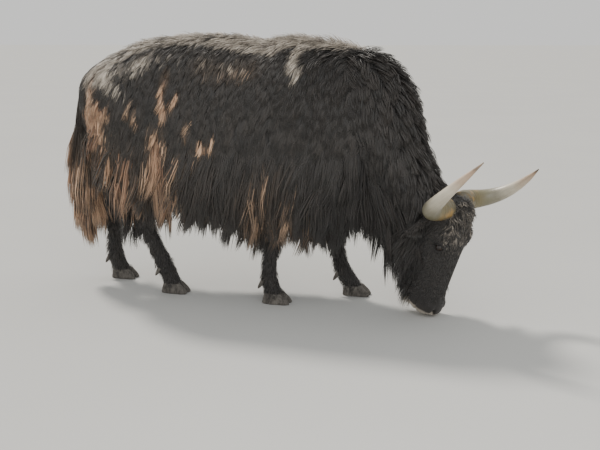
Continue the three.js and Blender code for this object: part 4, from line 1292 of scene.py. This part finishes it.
hoof_pieces = []
for leg, joints in LEGS.items():
    for side_name, sign in SIDES.items():
        claw = from_places(f"claw_{leg}_{side_name}", *join_lofts([claw_rings(joints[-1], sign)]))
        enrol(claw, "hoof", f"hoof_{leg}_{side_name}")
        spur = from_places(f"spur_{leg}_{side_name}", *join_lofts([dewclaw_rings(joints[-2], sign)]))
        enrol(spur, "hoof", f"dewclaw_{leg}_{side_name}")
        hoof_pieces += [claw, spur]
print("claws and dewclaws:", len(hoof_pieces))

# %% [markdown]
# ## Eyes
# The eye of such an animal is a dark ball with a lying oval pupil. The ball is a fine sphere. How far each
# place is from the middle of the pupil is stored on it, and the material turns that into pupil and iris.

# %% Eyeballs
BALL = EYE["radius"] + 0.5
# Shares of the ball's radius, and a number that means off the iris
PUPIL_HALVES, IRIS_RADIUS, OFF_IRIS = (0.42, 0.2), 0.86, 9
for side_name, sign in SIDES.items():
    middle = in_head(sign * (EYE["left"] - 1), EYE["out"], EYE["down"])
    rings = egg(middle, HEAD_AXES[[1, 2, 0]], (BALL, BALL, BALL), 36, 48)
    ball = from_places(f"eyeball_{side_name}", *join_lofts([rings]))
    left, out, down = ((rings.reshape(-1, 3) - middle) @ HEAD_AXES.T / BALL).T
    from_pupil = np.hypot(out / PUPIL_HALVES[0], down / PUPIL_HALVES[1])
    store(ball.data, "pupil", "FLOAT", np.where(left * sign > 0, from_pupil, OFF_IRIS))
    store(ball.data, "iris", "FLOAT", np.where(left * sign > 0, np.hypot(out, down) / IRIS_RADIUS, OFF_IRIS))
    enrol(ball, "eye", f"eye_{side_name}")
print("eyeballs of", 2 * BALL, "mm")

# %% [markdown]
# ## Shader expressions
# A material is easier to read as sums and products than as boxes and wires. This small class wraps a
# socket, so that `0.3 * noise + rust` adds the Math nodes by itself. Colours go through Mix nodes.

# %% The socket class
class Flow:
    """An output socket in one material's node tree, with arithmetic on single numbers."""

    def __init__(self, tree, socket):
        self.tree, self.socket = tree, socket

    def node(self, kind, settings=None, inputs=None, output=0):
        """Adds a node: its settings first, then values or links for its sockets."""
        made = self.tree.nodes.new(kind)
        for name, value in (settings or {}).items():
            if name == "stops":
                ramp = made.color_ramp
                for i, (place, colour) in enumerate(value):
                    stop = ramp.elements[i] if i < 2 else ramp.elements.new(place)
                    stop.position, stop.color = place, (*colour, 1)
            else:
                setattr(made, name, value)
        for name, value in (inputs or {}).items():
            socket = made.inputs[name]
            if isinstance(value, Flow):
                self.tree.links.new(value.socket, socket)
            elif isinstance(value, tuple) and len(value) == 3 and socket.type == "RGBA":
                socket.default_value = (*value, 1)
            else:
                socket.default_value = value
        return Flow(self.tree, made.outputs[output])

    def other(self, output):
        """Another output of the same node."""
        return Flow(self.tree, self.socket.node.outputs[output])

    def math(self, operation, *values):
        """One Math node."""
        return self.node("ShaderNodeMath", {"operation": operation}, dict(enumerate(values)))

    def __add__(self, other):
        return self.math("ADD", self, other)

    def __sub__(self, other):
        return self.math("SUBTRACT", self, other)

    def __rsub__(self, other):
        return self.math("SUBTRACT", other, self)

    def __mul__(self, other):
        return self.math("MULTIPLY", self, other)

    def __pow__(self, other):
        return self.math("POWER", self, other)

    def __rpow__(self, other):
        return self.math("POWER", other, self)

    __radd__, __rmul__ = __add__, __mul__

    def between(self, low, high, to_low=0.0, to_high=1.0):
        """Rises smoothly from to_low to to_high as self goes from low to high."""
        inputs = {"Value": self, 1: low, 2: high, 3: to_low, 4: to_high}
        return self.node("ShaderNodeMapRange", {"interpolation_type": "SMOOTHSTEP"}, inputs)

    def blend(self, below, above):
        """Mixes two colours by self."""
        return self.node("ShaderNodeMix", {"data_type": "RGBA"}, {0: self, 6: below, 7: above}, 2)


print("operators:", [name for name in vars(Flow) if name.startswith("__") and "init" not in name])

# %% [markdown]
# ## Helpers for finishes
# Every finish here starts from Blender's Principled shader. What is the same all over is set on its own
# sockets, and only what varies is linked.

# %% Materials, noise and bumps
def material(name, uniform):
    """An empty material: returns it, a Flow to start from, and a function that links its varying sockets."""
    made = bpy.data.materials.new(name)
    made.use_nodes = True
    tree = made.node_tree
    shader = tree.nodes["Principled BSDF"]
    for socket, value in uniform.items():
        shader.inputs[socket].default_value = value

    def wire(**sockets):
        for socket, value in sockets.items():
            tree.links.new(value.socket, shader.inputs[socket.replace("_", " ")])
        print(name, "varies in", ", ".join(sockets))

    return made, Flow(tree, None), wire


def stored(start, name, output="Fac"):
    """What the mesh keeps under a name."""
    return start.node("ShaderNodeAttribute", {"attribute_name": name}, output=output)


def object_place(start, scale=None):
    """The place on the object in metres, times a scale for each direction if one is given."""
    place = start.node("ShaderNodeTexCoord", output="Object")
    return start.node("ShaderNodeMapping", {}, {"Vector": place, "Scale": scale}) if scale else place


def noise(start, scale, detail=3.0, where=None, rough=0.55):
    """Smooth noise, 0 to 1, by the place on the object."""
    inputs = {"Vector": where or object_place(start), "Scale": scale, "Detail": detail, "Roughness": rough}
    return start.node("ShaderNodeTexNoise", {}, inputs)


def bump(start, height, strength, distance):
    """A bump of so many metres by a height of 0 to 1."""
    return start.node("ShaderNodeBump", {}, {"Height": height, "Strength": strength, "Distance": distance})


def paint(finish, pieces):
    """Gives every piece the finish."""
    for piece in pieces:
        piece.data.materials.append(finish)


print("helpers ready")

# %% [markdown]
# ## Coat and skin material
# The tint on each place holds rust, silver with the painted highlight of the back, a number that each tuft
# has of its own, and how far along the tuft the place is. Roots are dark, tips are bleached, the lightest tan
# of the rust is partly painted glint of sun, and a little sheen stands for the haze that light makes in real
# hair.

# %% Colour of the hair
BLACK_BROWN, UMBER, EARTH = (0.0215, 0.0205, 0.02), (0.05, 0.04, 0.0335), (0.075, 0.051, 0.033)
# The light end of the chestnut is partly bleached hair and partly painted glint of sun on the strands
CHESTNUT, TAN_AND_GLINT = (0.23, 0.1, 0.05), (0.74, 0.49, 0.32)
# Grey hair from grey fawn to pale fawn; its light end is as bright as painted sun on the back and the rump
GREY_FAWN, PALE_FAWN_AND_HIGHLIGHT = (0.19, 0.157, 0.126), (0.66, 0.585, 0.49)
ROOT_SHADE = (0.006, 0.005, 0.0045)


def hair_colour(start):
    """Colour of hair by its tint, the number that each tuft has of its own, and the share along it."""
    tint = stored(start, "tint", "Color")
    along = tint.other("Alpha")
    split = start.node("ShaderNodeSeparateColor", {}, {"Color": tint})
    rust, silver_and_highlight, own = (split.other(channel) for channel in range(3))
    patchy = noise(start, 9, 4)
    black = (own * 0.75 + along * 0.12).blend(BLACK_BROWN, UMBER)
    dark = (rust.between(0.0, 0.5) * 0.8).blend(black, EARTH)
    # Rusty tufts grow lighter towards tan, partly as painted glints of sun on the strands
    warm_and_glint = (own * 1.3 + along * 0.4 - 0.36).blend(CHESTNUT, TAN_AND_GLINT)
    # Painted highlight: this pale blend lights the ridge, the hump's crest and the rump as sun from behind
    # would
    pale_and_highlight = (silver_and_highlight * 0.75 + own * 0.9 + along * 0.25 - 0.66).blend(GREY_FAWN, PALE_FAWN_AND_HIGHLIGHT)
    # Only some tufts of a rust patch turn warm; the dark ones between also stand for painted shade between
    # the strands
    rusty = (rust * (0.45 + patchy) + own * 0.9 + along * 0.2 - 1.0).between(0.0, 0.42)
    silvery_and_lit = (silver_and_highlight * 1.1 + own * 0.8 + along * 0.2 - 0.85).between(0.0, 0.6)
    coloured = (rusty * rust.between(0.04, 0.3)).blend(dark, warm_and_glint)
    coloured = (silvery_and_lit * silver_and_highlight.between(0.03, 0.3)).blend(coloured, pale_and_highlight)
    at_root = (along**0.6).between(0.0, 0.55, 0.42, 0.0)
    return at_root.blend(coloured, ROOT_SHADE), own


print("hair colours from", BLACK_BROWN, "to", TAN_AND_GLINT)

# %% Coat
SHEEN = {"Sheen Weight": 0.12, "Sheen Roughness": 0.5}
hair_material, start, wire = material("yak_hair", {**SHEEN, "Specular IOR Level": 0.5})
colour, own = hair_colour(start)
wire(Base_Color=colour, Roughness=0.62 - own * 0.2)
paint(hair_material, coat_pieces)

# %% [markdown]
# ## Short fur
# Between the tufts and on the muzzle the hide has very short hair. Meshes so small would be wasted, so this
# is the one place where hair is a bump: streaks that run down the body, with pores between them.

# %% Skin
skin_material, start, wire = material("short_fur", {**SHEEN, "Specular IOR Level": 0.35})
colour, _ = hair_colour(start)
fur = noise(start, 1.0, 2, object_place(start, (330.0, 330.0, 70.0)))
pores = noise(start, 240, 2)
wire(
    Base_Color=(fur * 0.7).blend(colour, BLACK_BROWN),
    Roughness=0.55 + fur * 0.3,
    Normal=bump(start, fur * 0.7 + pores * 0.3, 0.6, 0.004),
)
paint(skin_material, [skin, *(bpy.data.objects[f"ear_skin_{side_name}"] for side_name in SIDES)])

# %% [markdown]
# ## Horn
# Horn grows in fibres. It is olive and amber at the root, ivory along its length and dark at the tip. The
# olive grey runs on past the middle, partly the horn's own colour and partly painted shade of its shaded
# body. A ramp along the horn gives the colours, fibres streak them, and dark lines mark the winters.

# %% Horn finish
horn_material, start, wire = material("ivory_horn", {"Coat Weight": 0.15, "Coat Roughness": 0.3})
along = stored(start, "along")
fibre = noise(start, 2.2, 5, stored(start, "grain", "Vector"), 0.65)
cloud = noise(start, 11, 3)
# Share of the length: colour. The dark olive grey up to 0.6 is partly painted shade.
HORN_STOPS = [
    (0.0, (0.1, 0.085, 0.045)), (0.3, (0.17, 0.14, 0.06)), (0.5, (0.2, 0.185, 0.12)),
    (0.6, (0.25, 0.23, 0.17)), (0.7, (0.46, 0.42, 0.33)), (0.82, (0.6, 0.54, 0.43)),
    (0.94, (0.46, 0.32, 0.22)), (1.0, (0.1, 0.07, 0.05)),
]
AMBER, DARK_FIBRE = (0.42, 0.24, 0.06), (0.17, 0.14, 0.1)
ramp = start.node("ShaderNodeValToRGB", {"stops": HORN_STOPS}, {"Fac": along + cloud * 0.16 - 0.08})
amber = cloud.between(0.5, 0.62) * along.between(0.1, 0.5, 1.0, 0.0) * 0.75
winters = start.math("SINE", along * 94 + cloud * 3).between(-1.0, 1.0) * along.between(0.05, 0.5, 1.0, 0.0)
streaks = fibre.between(0.48, 0.75, 0.0, 0.55) + winters * 0.22
wire(
    Base_Color=streaks.blend(amber.blend(ramp, AMBER), DARK_FIBRE),
    Roughness=0.3 + fibre * 0.28,
    Normal=bump(start, fibre * 0.6 + winters, 0.4, 0.0015),
)
paint(horn_material, [bpy.data.objects[f"horn_{name}_grown"] for name in HORNS])

# %% [markdown]
# ## Hoof
# Hooves are horn too, but worn, dry and dusty from the ground. A grain that is stretched upwards stands for
# their fibres, and a patchy blend for the dust.

# %% Hoof finish
HOOF_DARK, HOOF_LIGHT, DUST = (0.035, 0.031, 0.028), (0.135, 0.122, 0.108), (0.23, 0.212, 0.185)
hoof_material, start, wire = material("dry_hoof", {"Specular IOR Level": 0.3})
grain = noise(start, 1.0, 3, object_place(start, (260.0, 260.0, 18.0)))
dust = noise(start, 35, 4)
horny = grain.between(0.3, 0.7).blend(HOOF_DARK, HOOF_LIGHT)
wire(
    Base_Color=dust.between(0.4, 0.8, 0.0, 0.6).blend(horny, DUST),
    Roughness=0.6 + dust * 0.3,
    Normal=bump(start, grain, 0.5, 0.002),
)
paint(hoof_material, hoof_pieces)

# %% [markdown]
# ## Eye
# The eye is wet, so it has a clear coat over a dark brown iris. Pupil, iris and rim are blended by the
# numbers that the ball carries, which stays sharp where a painted picture would blur.

# %% Eye finish
PUPIL, EYE_RIM = (0.003, 0.003, 0.004), (0.03, 0.022, 0.02)
DEEP_BROWN, IRIS_BROWN = (0.012, 0.006, 0.004), (0.034, 0.016, 0.009)
WET = {"Coat Weight": 0.6, "Coat Roughness": 0.05, "Coat IOR": 1.35}
eye_material, start, wire = material("wet_eye", WET)
rays = noise(start, 900, 3)
brown = (rays * 0.8).blend(DEEP_BROWN, IRIS_BROWN)
ball_colour = stored(start, "iris").between(0.92, 1.08).blend(brown, EYE_RIM)
wire(
    Base_Color=stored(start, "pupil").between(0.9, 1.1).blend(PUPIL, ball_colour),
    Roughness=0.12 + rays * 0.1,
)
paint(eye_material, [bpy.data.objects[f"eyeball_{side_name}"] for side_name in SIDES])

# %% [markdown]
# ## Camera
# The horizon and the way the hooves stand in the photo give a camera at a standing person's eye height,
# in front and to the right of the animal's right side, looking slightly down.

# %% Camera
CAMERA_AT, LENS, SENSOR = np.array([1879.0, -4633.0, 1400.0]), 54.0, 36.0
YAW, PITCH = np.radians(17.4), np.arctan2(183, 900)
look = np.array([-np.sin(YAW) * np.cos(PITCH), np.cos(YAW) * np.cos(PITCH), -np.sin(PITCH)])


def aim(made, direction):
    """Turns a camera or a lamp to look along a direction, and puts it into the scene."""
    made.rotation_mode = "QUATERNION"
    made.rotation_quaternion = Vector(direction).to_track_quat("-Z", "Y")
    bpy.context.scene.collection.objects.link(made)


camera = bpy.data.objects.new("camera", bpy.data.cameras.new("camera"))
camera.data.lens, camera.data.sensor_width = LENS, SENSOR
camera.location = to_row(CAMERA_AT)
aim(camera, look)
bpy.context.scene.camera = camera
print("camera at", [round(value, 2) for value in camera.location])

# %% [markdown]
# ## Floor
# A museum stands such a figure on a plain pale floor. It reaches so far that its edge meets the background
# in a soft line, and its colour varies a little, as a painted floor's does.

# %% Floor
REACH = 400
floor_material, start, wire = material("studio_floor", {"Specular IOR Level": 0.0})
sweep = noise(start, 0.6, 3)
wire(Base_Color=sweep.blend((0.49, 0.49, 0.475), (0.53, 0.53, 0.515)), Roughness=0.75 + sweep * 0.15)
floor_mesh = bpy.data.meshes.new("floor")
corners = [(-REACH, -REACH, 0), (REACH, -REACH, 0), (REACH, REACH, 0), (-REACH, REACH, 0)]
floor_mesh.from_pydata(corners, [], [(0, 1, 2, 3)])
floor = bpy.data.objects.new("floor", floor_mesh)
bpy.context.scene.collection.objects.link(floor)
paint(floor_material, [floor])

# %% [markdown]
# ## Light
# The light is a studio's: one broad lamp behind the back, as high as the sun stood, which draws the ridge
# and the locks, with a large soft fill and a pale background that open the shadows.

# %% Lamps and background
def lamp(name, kind, place, target, size, strength, colour):
    """A soft lamp that faces a place. Size is the side of an area lamp or the angle of a sun."""
    data = bpy.data.lights.new(name, kind)
    setattr(data, "angle" if kind == "SUN" else "size", size)
    data.energy, data.color = strength, colour
    made = bpy.data.objects.new(name, data)
    made.location = place
    aim(made, Vector(target) - Vector(place))


lamp("key", "SUN", (-3.4, 2.6, 4.6), (0, 0, 0), np.radians(9), 3.6, (1.0, 0.95, 0.88))
lamp("fill", "AREA", (2.5, -5.0, 3.2), (0, 0, 0.7), 3.5, 110, (0.95, 0.98, 1.0))
world = bpy.data.worlds.new("studio")
world.use_nodes = True
background = world.node_tree.nodes["Background"]
background.inputs["Color"].default_value = (0.904, 0.9, 0.882, 1)
background.inputs["Strength"].default_value = 0.95
bpy.context.scene.world = world
print("lamps:", len(bpy.data.lights))

# %% [markdown]
# ## Size
# The dressed figure has to fill the same room as the solids.
